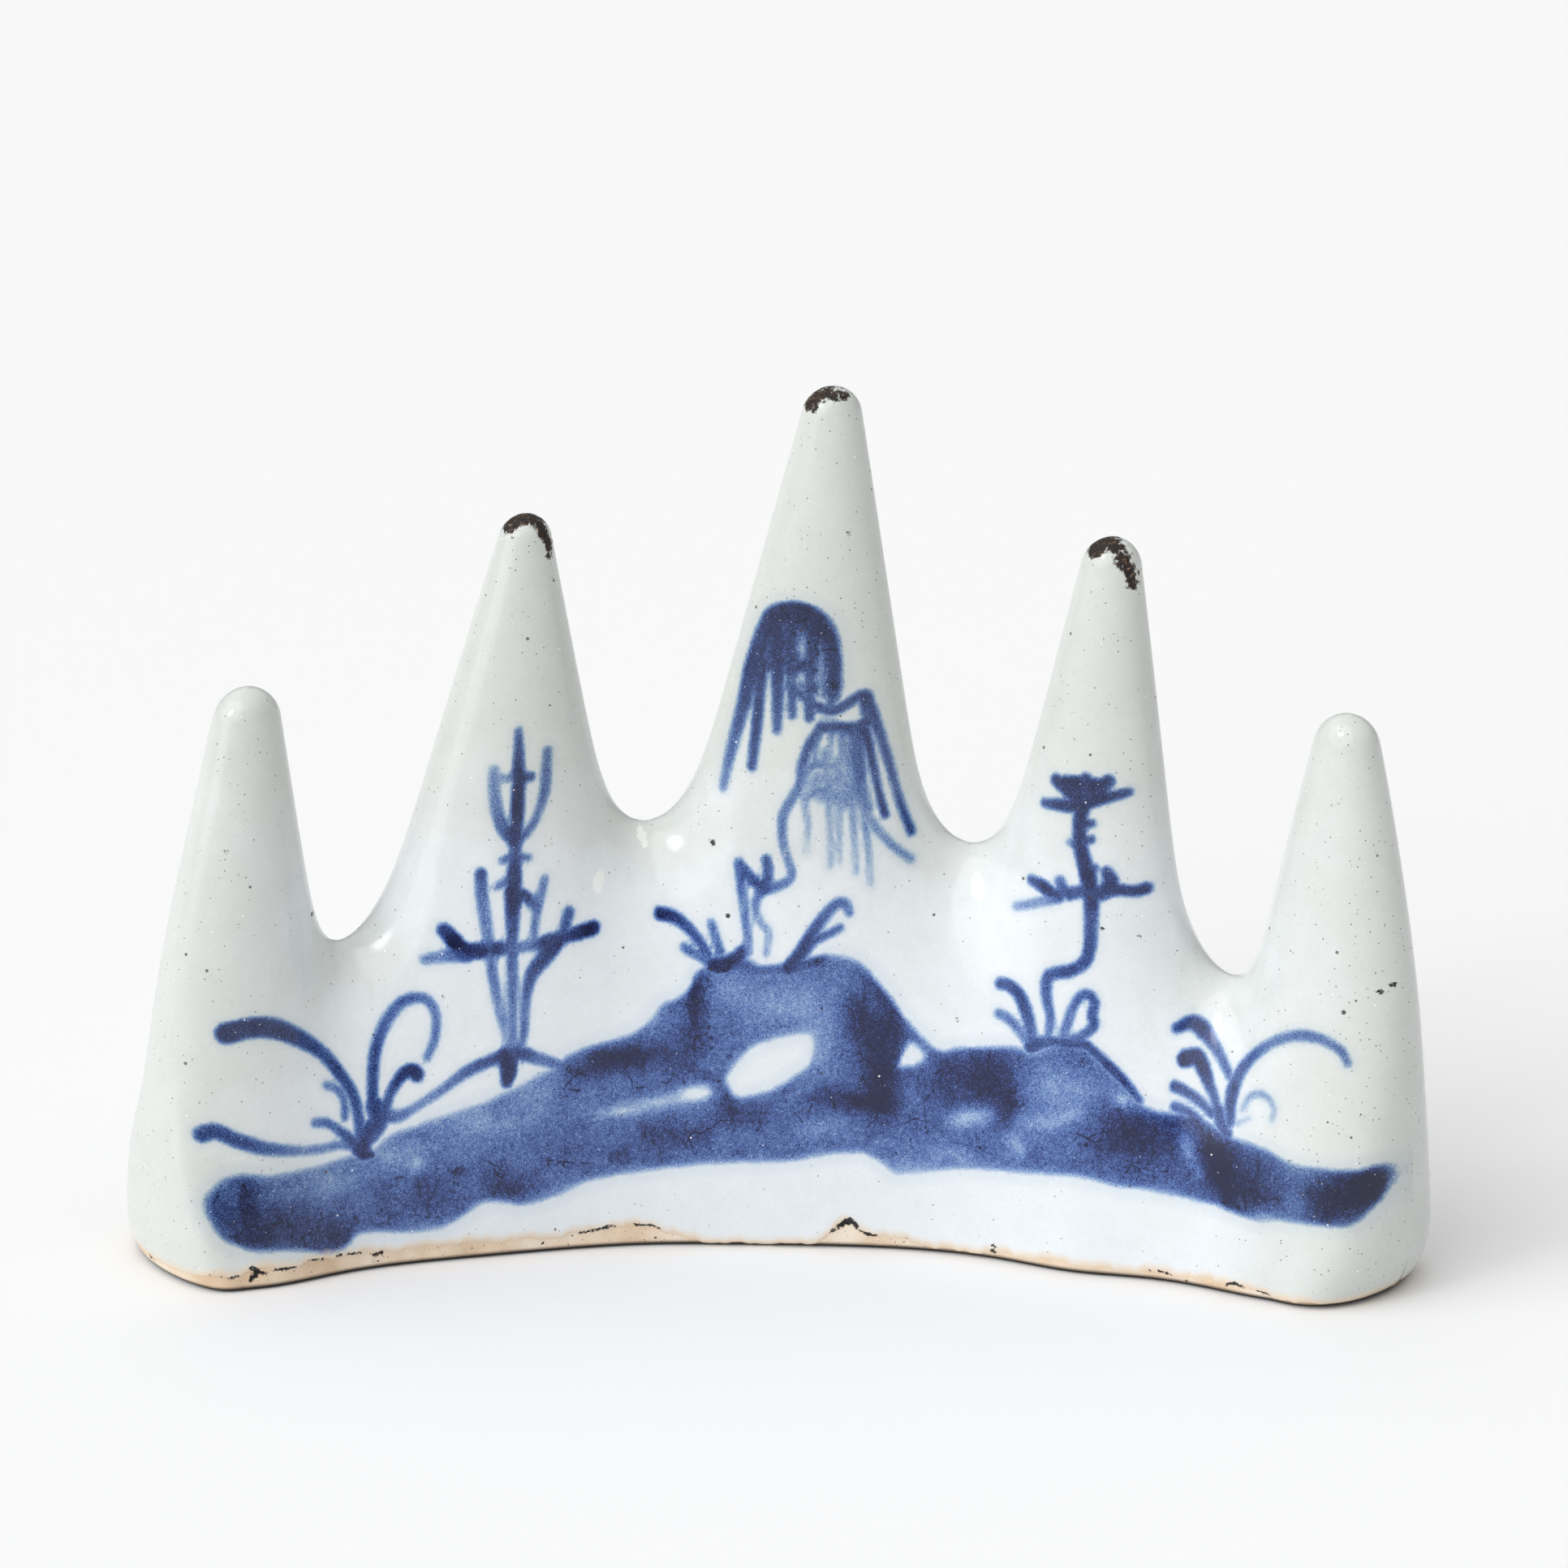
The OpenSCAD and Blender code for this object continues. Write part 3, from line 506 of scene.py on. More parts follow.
# The rocks and the ground under the plants: one wash, its outline from the left end round
WASH_LINE = [
    (-75.5, 11.2), (-75, 12), (-73.6, 13.2), (-72, 13.9), (-69.8, 14), (-67.2, 13.6), (-65, 13.6),
    (-62.8, 13.7), (-60.5, 13.8), (-58.3, 14.1), (-56.2, 14.4), (-53.5, 14.6), (-51, 16.2),
    (-47.4, 17.2), (-45.3, 17.7), (-42.1, 18.6), (-38.5, 19.4), (-36.3, 20.2), (-34.1, 20.9),
    (-31.9, 22), (-29.1, 23), (-28.3, 23.9), (-25.6, 24.9), (-22.8, 25.6), (-20, 26.1), (-18, 27.1),
    (-16.6, 28.2), (-15.2, 29.8), (-13, 30.8), (-12, 31.6), (-11.3, 32.6), (-10.3, 34), (-8, 34.6),
    (-6.3, 35.4), (-5, 36), (-2, 34.4), (0.6, 34.6), (2.6, 35.8), (5, 36.1), (7.8, 35.9), (10.1, 35),
    (12.3, 33), (14, 31), (15.6, 29), (17, 27.6), (20, 25.2), (22.8, 25.6), (26, 26), (29, 26.4),
    (30.8, 26.4), (32.6, 26), (34.6, 27.3), (37, 27.7), (38.7, 27.7), (40.6, 26.5), (42.2, 25.3),
    (44.2, 23.7), (45.6, 22.3), (47.3, 21), (50, 20.6), (53, 20.8), (55, 20.4), (57.8, 19.4),
    (60.4, 18.8), (62, 18.7), (64.4, 18.3), (67.3, 17.4), (70, 17.3), (73.2, 17.5), (75.5, 17.6),
    (77.3, 18), (78.1, 17.6), (78.4, 16.4), (78.2, 15), (77.8, 13.6), (77.1, 12.5), (76.6, 11.5),
    (75.9, 11), (75.3, 10.7), (73.4, 10.5), (69.8, 10.4), (66.6, 10.1), (63.5, 9.7), (59.8, 10.2),
    (57.7, 10.5), (54.8, 10.6), (49.8, 11), (44.8, 11), (39.6, 11.7), (34.8, 11.5), (29.8, 11.2),
    (25, 11), (20, 10.3), (17.6, 9.8), (15, 9.6), (13, 10.9), (11.6, 11.6), (10, 12), (5, 11.6),
    (2.8, 11), (0, 10.7), (-5, 10.5), (-10, 10.3), (-15, 9.7), (-20, 9.3), (-25.8, 8.4), (-28.5, 7.3),
    (-31.3, 6.6), (-34, 6.3), (-36.8, 6.9), (-39.3, 6.9), (-41.5, 5.6), (-44, 4.6), (-46.6, 4.3),
    (-49.5, 4.2), (-52, 4.5), (-54.8, 4.8), (-56, 4.6), (-57.2, 3.5), (-59, 3), (-60.9, 3.1),
    (-62.8, 3.7), (-65.2, 4.2), (-67.7, 4.5), (-70.5, 4.9), (-72.4, 5.7), (-74, 6.8), (-75, 8.4),
    (-75.5, 10),
]  # fmt: skip
# Bare patches left inside the wash
WASH_HOLES = [
    [(-7, 20.6), (-6, 22.4), (-4, 24.4), (-1.5, 25.6), (1, 26.2), (3.4, 26.4), (4.1, 25.2), (3.4, 22.8),
     (1.2, 21.2), (-1.5, 19.7), (-4, 19), (-5.8, 18.9)],
    [(15.2, 22.9), (15.6, 24.2), (16.6, 25.5), (18.2, 24.2), (17.2, 23.3)],
]  # fmt: skip
# The willow's crown and the pale wash behind its lower strands
CROWN_LINE = [
    (-4.5, 68.6), (-4, 72), (-3, 75), (-1.5, 76.8), (0.4, 77.7), (2.2, 77.8), (4, 77.2), (5.7, 76),
    (6.7, 74.2), (7.1, 71.5), (7.3, 68), (6.6, 65.8), (5, 66.2), (3.4, 66.8), (1.8, 67.5), (0.4, 68.4),
    (-0.6, 69.3), (-2, 68.6), (-3.2, 67.6),
]  # fmt: skip
STRAND_LINE = [
    (2.6, 56.6), (3.4, 57.8), (5.2, 58.2), (7.6, 58), (9.2, 57), (9.8, 55), (9.2, 53.2), (7.5, 52.8),
    (5.5, 53.4), (3.8, 54), (2.7, 55),
]  # fmt: skip
# Painted areas: tone, outline and the bare patches inside it
AREAS = [(0.7, WASH_LINE, WASH_HOLES), (0.9, CROWN_LINE, []), (0.46, STRAND_LINE, [])]
# Lighter and darker brush marks in the ground: changes of tone along them, widths, points
WASH_STROKES = [
    ((-0.14, -0.22, -0.3, -0.5), (0.5, 0.9, 1.2, 1.6), [(-23.5, 16.6), (-20, 17.1), (-17, 17.7),
     (-14, 18.5), (-11.6, 19.1), (-9.8, 19.3)]),
    ((-0.2, -0.34, -0.2), (1.0, 2.0, 1.2), [(21.6, 16.7), (24.5, 17.4), (27.3, 17.9)]),
    ((-0.12, -0.24, -0.24), (1.4, 1.2, 1.0), [(31, 17.6), (35, 18), (38.9, 19.4)]),
    ((-0.16, -0.2), (1.2, 1.0), [(30.4, 15.4), (31.6, 13.8)]),
    ((-0.24, -0.2), (1.5, 1.2), [(52.4, 17.6), (53.8, 15.8), (55.3, 13.9)]),
    ((-0.2, -0.2), (1.2, 1.0), [(43.4, 21.8), (45.4, 21)]),
    ((0.2, 0.22, 0.14), (1.1, 1.3, 1.2), [(-10.3, 34), (-11.3, 31.8), (-11.4, 29.6), (-11, 27.4)]),
    ((0.16, 0.16, 0.1), (1.2, 1.6, 1.6), [(-24.6, 24), (-20, 23.8), (-15, 24.6)]),
    ((0.1, 0.16, 0.16), (0.9, 1.3, 1.4), [(3.4, 19), (6, 19.3), (9.4, 18.8), (12.4, 17.8)]),
    ((0.14, 0.2, 0.14), (1.2, 1.8, 1.2), [(10, 34), (12.8, 31.4), (14.4, 28.4), (15, 24)]),
    ((0.16, 0.2), (1.0, 1.0), [(-9.4, 21.2), (-7.4, 19.4), (-6.6, 17.6)]),
    ((0.12, 0.2, 0.2), (1.6, 2.0, 1.6), [(53.8, 20), (56, 17.8), (58, 15), (59.6, 12)]),
    ((-0.5, -0.74, -0.5), (0.6, 0.9, 0.6), [(2.2, 73.8), (2.2, 72.4), (2.3, 71.4)]),
    ((-0.3, -0.62, -0.5), (0.5, 0.8, 0.6), [(4.5, 73), (4.5, 69.8), (4.6, 66.7)]),
    ((-0.85, -0.85), (0.9, 0.9), [(2.2, 68.8), (2.6, 68.8)]),
    ((-0.12, -0.1), (0.6, 0.5), [(-2, 75), (-2.2, 70), (-2.4, 66)]),
    ((-0.14, -0.1), (0.5, 0.5), [(0, 75), (0.1, 70), (0.1, 66)]),
]
# Darker and lighter dabs in the wash: (place, height, reach along, reach up, change of tone)
WASH_DABS = [
    (-67.5, 7.5, 5, 3, 0.16), (-59, 5.5, 4, 2.5, 0.18), (-70, 11, 1.5, 3, 0.16), (-73, 9, 2, 3, 0.05),
    (-60, 11.5, 5, 2, -0.14), (-50, 13.5, 4, 2.2, -0.16), (-47.4, 12.4, 1, 0.8, -0.25),
    (-45.5, 9, 3, 3, 0.14), (-42.2, 11.2, 0.8, 0.5, 0.3), (-51.7, 8, 2, 3, 0.08),
    (-40, 17, 5, 2, -0.16), (-36, 9, 3.5, 2, 0.18), (-31.5, 19.5, 2.5, 2.5, -0.16),
    (-30, 13.5, 6, 2.5, 0.05), (-28, 7.8, 4, 1, -0.06), (-20, 23.2, 5, 1.6, 0.2),
    (-12, 24, 2.5, 3, 0.16), (-10.8, 30, 1.1, 3.6, 0.2), (-14, 14, 5, 2, 0.14),
    (-21, 11.7, 1.5, 1, 0.15), (-5, 16.5, 4, 2, 0.12), (0, 30, 6, 2.5, -0.14), (-7, 32, 2, 1.5, -0.14),
    (5, 26, 2.4, 5, -0.1), (8, 32, 2.5, 2, -0.04), (9.5, 29, 2, 3, 0.16), (12.5, 25, 3, 5, 0.24),
    (9, 18.3, 4.5, 1.2, 0.2), (13.2, 20, 2, 4, 0.2), (5, 15, 3, 1, -0.12), (15.5, 17, 2, 3, 0.02),
    (-16, 18, 4.5, 0.8, -0.16), (-11, 19, 1.8, 0.8, -0.36), (-21, 17, 3, 0.6, -0.24),
    (-16, 28, 3, 1.2, -0.1), (-24, 22.2, 2.5, 1.2, 0.12), (26.5, 22.5, 4, 3, 0.26),
    (21, 21, 2.5, 3.5, 0.16), (29.6, 19, 1.6, 2.5, 0.2), (24.6, 17.4, 2.4, 1, -0.08),
    (20.5, 15.5, 1.5, 1, 0.06), (36, 22, 4, 2.6, -0.16), (34.5, 17.8, 3.5, 1.3, -0.06),
    (38.5, 18.9, 1.6, 0.6, -0.05), (30.5, 14.5, 2.5, 1.5, -0.1), (22, 12.5, 4, 1, -0.14),
    (16.5, 10.6, 3, 1, -0.2), (46, 17, 5, 3, 0.26), (44.5, 21.4, 0.9, 0.7, -0.2),
    (51.3, 17.5, 1.5, 3, 0.1), (53.2, 16.4, 0.9, 1.3, -0.04), (55.2, 14.2, 1, 1.4, -0.03),
    (57.5, 15.5, 2.4, 3, 0.24), (62, 13.5, 3, 2.6, 0.18), (68, 12.5, 1.4, 2, -0.1),
    (72.5, 13, 2.2, 2.4, 0.22), (77, 15, 3, 3, 0.4), (65, 10.4, 2, 0.8, -0.2), (40, 13, 4, 1.2, 0.02),
    (60, 10.6, 2, 0.8, 0.1), (-70, 6, 3, 1, 0.1), (68, 16.4, 2, 0.8, -0.1), (64, 14.5, 14, 6, 0.07),
    (-38, 14, 9, 6, -0.03),
]  # fmt: skip
DAB_GAIN = 1.3
# Softness in mm of the joins between strokes, between areas and of the brush marks in the ground
STROKE_BLEND = 0.25
AREA_BLEND = 0.4
MARK_SOFT = 0.3
FAR = 9.0
NEAR_STROKE = 4
TINY = 1e-9
# Points worked on at a time, to limit the memory that is used
STROKE_CHUNK = 20000
AREA_CHUNK = 8000


def smooth_path(points, per=6):
    """Points on a smooth curve through the given ones: a Catmull-Rom spline with per steps each."""
    p = np.array(points, float)
    p = np.concatenate([[2 * p[0] - p[1]], p, [2 * p[-1] - p[-2]]])
    t = (np.arange(per) / per)[:, None, None]
    a, b, c, e = p[:-3], p[1:-2], p[2:-1], p[3:]
    curve = 2 * b + (c - a) * t + (2 * a - 5 * b + 4 * c - e) * t**2
    curve = 0.5 * (curve + (3 * b - a - 3 * c + e) * t**3)
    return np.concatenate([curve.transpose(1, 0, 2).reshape(-1, 2), p[-2:-1]])


def to_segments(points, a, b):
    """Distance from each point to each segment a-b, and how far along the segment its foot is."""
    ab = b - a
    rel = points[:, None] - a
    along = np.clip((rel * ab).sum(-1) / np.maximum((ab**2).sum(-1), TINY), 0, 1)
    return np.linalg.norm(rel - along[..., None] * ab, axis=-1), along


def stroke_fields(s, z, strokes):
    """Distance to the nearest stroke's edge, below zero inside it, and the tone there.

    The distance is that to the stroke's path less half its width. The tone is the strokes' mean,
    each counted exp(-distance / STROKE_BLEND) times.
    """
    nearest = np.full(s.shape, FAR)
    weight = np.full(s.shape, TINY)
    tone = np.zeros(s.shape)
    for tones, widths, marks in strokes:
        path = smooth_path(marks)
        lengths = np.concatenate([[0], np.cumsum(np.linalg.norm(np.diff(path, axis=0), axis=1))])
        share = lengths / lengths[-1]
        radius = np.interp(share, np.linspace(0, 1, len(widths)), widths) / 2
        shade = np.interp(share, np.linspace(0, 1, len(tones)), tones)
        low, high = path.min(0) - NEAR_STROKE, path.max(0) + NEAR_STROKE
        near = np.flatnonzero((s > low[0]) & (s < high[0]) & (z > low[1]) & (z < high[1]))
        for part in np.array_split(near, max(1, len(near) // STROKE_CHUNK)):
            if not len(part):
                continue
            away, along = to_segments(np.stack([s[part], z[part]], -1), path[:-1], path[1:])
            away -= radius[:-1] + along * np.diff(radius)
            k = away.argmin(1)
            rows = np.arange(len(part))
            best, at = away[rows, k], along[rows, k]
            w = np.exp(-np.clip(best, -2, 4) / STROKE_BLEND)
            tone[part] += w * (shade[k] + at * (shade[k + 1] - shade[k]))
            weight[part] += w
            nearest[part] = np.minimum(nearest[part], best)
    return nearest, tone / weight


def mark_field(s, z, marks):
    """Distance to the nearest edge of marks given as (widths along it, places), below zero inside."""
    return stroke_fields(s, z, [((0, 0), widths, path) for widths, path in marks])[0]


def area_field(s, z, line):
    """Distance to a closed line, below zero inside it.

    A point is inside if a level ray from it crosses the line an odd number of times.
    """
    path = smooth_path(line + line[:1], 4)
    a, b = path[:-1], path[1:]
    out = np.full(s.shape, FAR)
    low, high = path.min(0) - FAR, path.max(0) + FAR
    near = np.flatnonzero((s > low[0]) & (s < high[0]) & (z > low[1]) & (z < high[1]))
    for part in np.array_split(near, max(1, len(near) // AREA_CHUNK)):
        points = np.stack([s[part], z[part]], -1)
        away = to_segments(points, a, b)[0].min(1)
        above = (a[:, 1] > points[:, 1:]) != (b[:, 1] > points[:, 1:])
        rise = np.where(np.abs(b[:, 1] - a[:, 1]) < TINY, TINY, b[:, 1] - a[:, 1])
        cross = a[:, 0] + (points[:, 1:] - a[:, 1]) * (b[:, 0] - a[:, 0]) / rise
        inside = (above & (points[:, :1] < cross)).sum(1) % 2 == 1
        out[part] = np.where(inside, -away, away)
    return out


def painting(s, z):
    """Point values of the painting: ink and wash distances in mm and their tones."""
    ink, ink_tone = stroke_fields(s, z, STROKES)
    wash = np.full(s.shape, FAR)
    weight, tone = TINY + 0 * s, 0 * s
    for darkness, line, holes in AREAS:
        away = area_field(s, z, line)
        for hole in holes:
            away = np.maximum(away, -area_field(s, z, hole))
        w = np.exp(-np.clip(away, -2, 8) / AREA_BLEND)
        tone += w * darkness
        weight += w
        wash = np.minimum(wash, away)
    tone /= weight
    for mark in WASH_STROKES:
        away, change = stroke_fields(s, z, [mark])
        tone += change / (1 + np.exp(away / MARK_SOFT))
    for at, up, reach_s, reach_z, change in WASH_DABS:
        tone += DAB_GAIN * change * np.exp(-(((s - at) / reach_s) ** 2) - ((z - up) / reach_z) ** 2)
    return {"ink": ink, "ink_tone": ink_tone, "wash": np.clip(wash, -FAR, FAR), "wash_tone": tone}


# Burnt, unglazed patches on the three inner tips: marks as (widths along it, places)
TIP_FRIT = [
    ((1.3, 1.5), [(-32.4, 86.2), (-31.2, 87.3), (-29.4, 87.2)]),
    ((1.6, 0.9), [(-29, 86.6), (-28, 84.6), (-27.8, 82.8)]),
    ((1.5, 1.2), [(2.8, 100.4), (3.8, 101.6), (5.4, 102)]),
    ((1.2, 0.9), [(5.6, 101.8), (7, 101.6)]),
    ((1.8, 1.4), [(36.6, 85.2), (38.2, 86.2), (39.6, 85.6)]),
    ((1.7, 1.0), [(40.2, 84.8), (41.2, 83), (41.6, 81.4)]),
]
# Burnt grit where the glaze meets the bare foot, in the same form
FOOT_GRIT = [
    ((0.3, 0.5, 0.55, 0.3), [(7.4, 2.5), (8.2, 3.3), (9.1, 3.7), (9.8, 3.2), (10, 2.6)]),
    ((0.3, 0.25), [(6.4, 2.2), (7.6, 2.6)]),
    ((0.2, 0.35, 0.25), [(10.4, 2.3), (11.4, 2), (12.5, 1.9)]),
    ((0.3, 0.3), [(28.2, 2.1), (28.4, 1.9)]),
    ((0.35, 0.3), [(28, 1.3), (28.6, 1.2)]),
    ((0.2, 0.35, 0.2), [(60, 1.4), (61.2, 1.8), (62.4, 1.5)]),
    ((0.25, 0.2), [(50.6, 1.5), (52.2, 1.2)]),
    ((0.2, 0.2), [(64.4, 1.3), (66, 1.1)]),
    ((0.4, 0.5, 0.3), [(-70.4, 3), (-69.8, 2.3), (-70.6, 1.4)]),
    ((0.3, 0.25), [(-69.6, 2.2), (-68.4, 2)]),
    ((0.25, 0.2), [(-73.2, 1.9), (-72.2, 2.1)]),
    ((0.2, 0.25, 0.2), [(-67.6, 2.3), (-66, 2.2), (-64.6, 2.3)]),
    ((0.2, 0.2), [(-62.6, 2.7), (-60.6, 2.6)]),
    ((0.35, 0.3), [(-58.6, 2.7), (-58.2, 2.6)]),
    ((0.2, 0.2), [(-57.2, 2.6), (-55.4, 2.5)]),
    ((0.3, 0.3), [(-53.6, 1.9), (-52.6, 2.1)]),
    ((0.15, 0.2, 0.3, 0.2), [(-26.6, 2.3), (-24.8, 2.4), (-22.6, 2.9), (-21.6, 2.8)]),
    ((0.2, 0.25, 0.15), [(-19.2, 2.9), (-17, 2.8), (-15.8, 2.4)]),
]
GRIT_WIDTH = 1.7
# Pale spots painted on the glaze as highlights, in the same form
PAINTED_GLINTS = [
    ((0.9, 1.4, 1.1), [(-22.5, 45), (-22.8, 44.1), (-22.9, 43.2)]),
    ((0.7, 1.2, 0.6), [(-17.4, 48.8), (-17.1, 48.1), (-16.7, 47.3)]),
]
# Single iron spots in the front glaze: (place along the rest, height, width)
IRON_SPOTS = [
    (75.8, 38.5, 0.5), (76.7, 39.2, 0.5), (75.4, 24, 0.4), (67.3, 17.6, 0.4), (71.5, 22.8, 0.3),
    (22.2, 28.8, 0.45), (40.1, 41.2, 0.45), (44.4, 40.2, 0.35), (-8.8, 48.5, 0.7), (-25, 43.6, 0.4),
    (-43, 32, 0.4), (-69, 52, 0.45), (7.6, 86, 0.5), (-57.6, 42, 0.5), (57.4, 28.2, 0.3),
]  # fmt: skip
LOOSE_GRIT_SEED = 7
LOOSE_GRIT_COUNT = 90
LOOSE_GRIT_ENDS = (-76, 72)
LOOSE_GRIT_DROPS = (-0.2, 1.2)
LOOSE_GRIT_SIZES = (0.14, 0.42)


def foot_grit():
    """The burnt grit marks, loose dots of it in clusters under the glaze edge, and the iron spots."""
    chance = np.random.default_rng(LOOSE_GRIT_SEED)
    at = chance.uniform(*LOOSE_GRIT_ENDS, LOOSE_GRIT_COUNT)
    at = at[np.sin(at / 7) + np.sin(at / 3.1) > -0.3]
    up = edge_height(at, FRONT_EDGE) - chance.uniform(*LOOSE_GRIT_DROPS, len(at))
    size = chance.uniform(*LOOSE_GRIT_SIZES, len(at)) ** 1.3
    loose = [(s, z, w) for s, z, w in zip(at, up, size) if z > 0.3]
    marks = [([GRIT_WIDTH * w for w in widths], path) for widths, path in FOOT_GRIT]
    return marks + [([w], [(s, z), (s + w / 3, z - w / 5)]) for s, z, w in loose + IRON_SPOTS]


def glaze_piece(name, side, columns, lower_edge):
    """One side of the glaze as a skin with a rolled lower edge, and its point values."""
    lip = np.arange(LIP_ROWS) / LIP_ROWS
    rise = np.linspace(0, 1, LOW_ROWS + 1)[:-1]
    up = np.linspace(0, 1, HIGH_ROWS + 1)
    low = 1 - (1 - rise) ** LOW_ROW_CROWDING
    high = (1 - np.cos(math.pi * up)) / 4 + up / 2
    foot = partial(edge_height, marks=lower_edge)
    patches, faces, start = [], [], 0
    for i in range(len(PEAKS)):
        s, d, z, drawn = wall_grid(i, columns, low, high, foot, side, lip=lip)
        n = normals(s, d, z)
        roll = LIP_ROLL * np.clip(drawn / GLAZE_T, 0, 1)[..., None]
        n = n * (1 - roll) + np.array([0, 0, -1.0]) * roll
        n /= np.linalg.norm(n, axis=-1, keepdims=True)
        patches.append([s.ravel(), d.ravel(), z.ravel(), n.reshape(-1, 3)])
        faces.append(quads(len(s) - 1, columns, start, side > 0))
        start += s.size
    s, d, z, n = (np.concatenate(parts) for parts in zip(*patches))
    # Painted shade: share of a grey-green tint round each valley's saddle
    saddle_shades = [
        np.exp(-(((s - v) / SADDLE_REACH) ** 2) - ((z - top_at(v)) / SADDLE_DROP) ** 2) for v in VALLEYS
    ]
    values = {"edge": z - edge_height(s, lower_edge), "saddle": np.sum(saddle_shades, axis=0)}
    values["frit"] = mark_field(s, z, TIP_FRIT) + np.maximum(d, 0) / 2
    if side < 0:
        # The painting, the grit and the painted highlight spots are on the front only
        values.update(painting(s, z), grit=mark_field(s, z, foot_grit()), flake=mark_field(s, z, PAINTED_GLINTS))
    else:
        values.update({key: np.full(s.shape, FAR) for key in ("ink", "wash", "grit", "flake")})
        values.update(ink_tone=0 * s, wash_tone=0 * s)
    return new_mesh(name, place(s, d, z), np.concatenate(faces), n, values)


def clay_piece(name, side):
    """One moulded half as a closed shell: outer skin, hollow, seam face and foot face."""
    foot = FOOT_EDGE_R * (1 - np.cos(np.arange(CLAY_FOOT_ROWS) / CLAY_FOOT_ROWS * math.pi / 2))
    band = np.linspace(FOOT_EDGE_R, CLAY_BAND_H, CLAY_BAND_ROWS + 1)[:-1]
    above = np.linspace(CLAY_BAND_H, LOWEST_VALLEY, CLAY_LOW_ROWS + 1)[:-1]
    low = np.concatenate([foot, band, above]) / LOWEST_VALLEY
    high = (1 - np.cos(math.pi * np.linspace(0, 1, CLAY_HIGH_ROWS + 1))) / 2
    wide = CLAY_COLUMNS + 1
    k = np.arange(CLAY_COLUMNS)
    points, grits, faces, outer = [], [], [], 0
    for i in range(len(PEAKS)):
        for depth, outside in ((GLAZE_T, True), (HOLLOW_IN, False)):
            s, d, z, _ = wall_grid(
                i, CLAY_COLUMNS, low, high, lambda x: 0 * x, side, depth, rounded=outside
            )
            points.append(place(s, d, z).reshape(-1, 3))
            gritty = side < 0 and outside
            grits.append(mark_field(s.ravel(), z.ravel(), foot_grit()) if gritty else np.full(s.size, FAR))
        rows = len(s) - 1
        inner = outer + s.size
        faces.append(quads(rows, CLAY_COLUMNS, outer, side > 0))
        faces.append(quads(rows, CLAY_COLUMNS, inner, side < 0))
        under = np.stack([outer + k, inner + k, inner + k + 1, outer + k + 1], -1)
        faces.append(under if side < 0 else under[:, ::-1])
        for column, is_open in ((0, i == 0), (CLAY_COLUMNS, i == len(PEAKS) - 1)):
            j = np.arange(0 if is_open else len(low), rows) * wide + column
            rim = np.stack([outer + j, outer + j + wide, inner + j + wide, inner + j], -1)
            faces.append(rim if (side < 0) == (column == 0) else rim[:, ::-1])
        outer = inner + s.size
    values = {"grit": np.concatenate(grits)}
    return new_mesh(name, np.concatenate(points), np.concatenate(faces), values=values)


def linear(colour):
    """Linear RGBA of an sRGB hex colour."""
    v = np.array([int(colour[i : i + 2], 16) / 255 for i in (1, 3, 5)])
    return (*np.where(v <= 0.04045, v / 12.92, ((v + 0.055) / 1.055) ** 2.4), 1.0)


def fill(node, inputs):
    """Gives a node's inputs, listed or by key, their values or links from other nodes and sockets."""
    for key, value in inputs.items() if isinstance(inputs, dict) else enumerate(inputs):
        if isinstance(value, bpy.types.Node):
            value = value.outputs.get("Fac") or next(o for o in value.outputs if o.enabled)
        if isinstance(value, bpy.types.NodeSocket):
            node.id_data.links.new(value, node.inputs[key])
        else:
            node.inputs[key].default_value = value


def add(tree, kind, inputs=(), stops=(), **settings):
    """Adds a node with its settings and links, and with (position, colour) stops if it is a ramp.

    A stop's colour is sRGB hex or a grey number.
    """
    made = tree.nodes.new("ShaderNode" + kind)
    for key, value in settings.items():
        setattr(made, key, value)
    fill(made, inputs)
    for _ in stops[2:]:
        made.color_ramp.elements.new(0.5)
    for i, (at, colour) in enumerate(stops):
        point = made.color_ramp.elements[i]
        point.position = at
        point.color = linear(colour) if isinstance(colour, str) else (colour, colour, colour, 1)
    return made


def material(name):
    """New material with nodes, its tree and its principled shader."""
    made = bpy.data.materials.new(name)
    made.use_nodes = True
    return made, made.node_tree, made.node_tree.nodes["Principled BSDF"]


PER_METRE = 1000.0
GRIT_BLACK = "#17100c"
GRIT_GRAIN_MM = 0.35
GRIT_ROUGHENING = 0.7
# A step is where it starts, where it ends, and what it gives before and after
GRIT_STEP = (0.25, 0.4, 1.0, 0.0)


def grit_mask(tree, here):
    """Share of burnt grit: 1 on its marks, with edges roughened by noise."""
    marks = add(tree, "Attribute", attribute_name="grit")
    rough = add(tree, "TexNoise", {"Vector": here, "Scale": PER_METRE / GRIT_GRAIN_MM, "Detail": 3.0})
    at = add(tree, "Math", [rough, GRIT_ROUGHENING, marks], operation="MULTIPLY_ADD")
    return add(tree, "MapRange", [at, *GRIT_STEP])


# The glaze's white where it is lit, and a greyer white painted as shade up the peaks and towards both ends
GLAZE_LIT_WHITE = "#ebeff1"
GLAZE_SHADED_GREY = "#d9dcd6"
# Grey-green of the painted shade round the valley saddles
GLAZE_SADDLE_SHADE = "#c6cbbe"
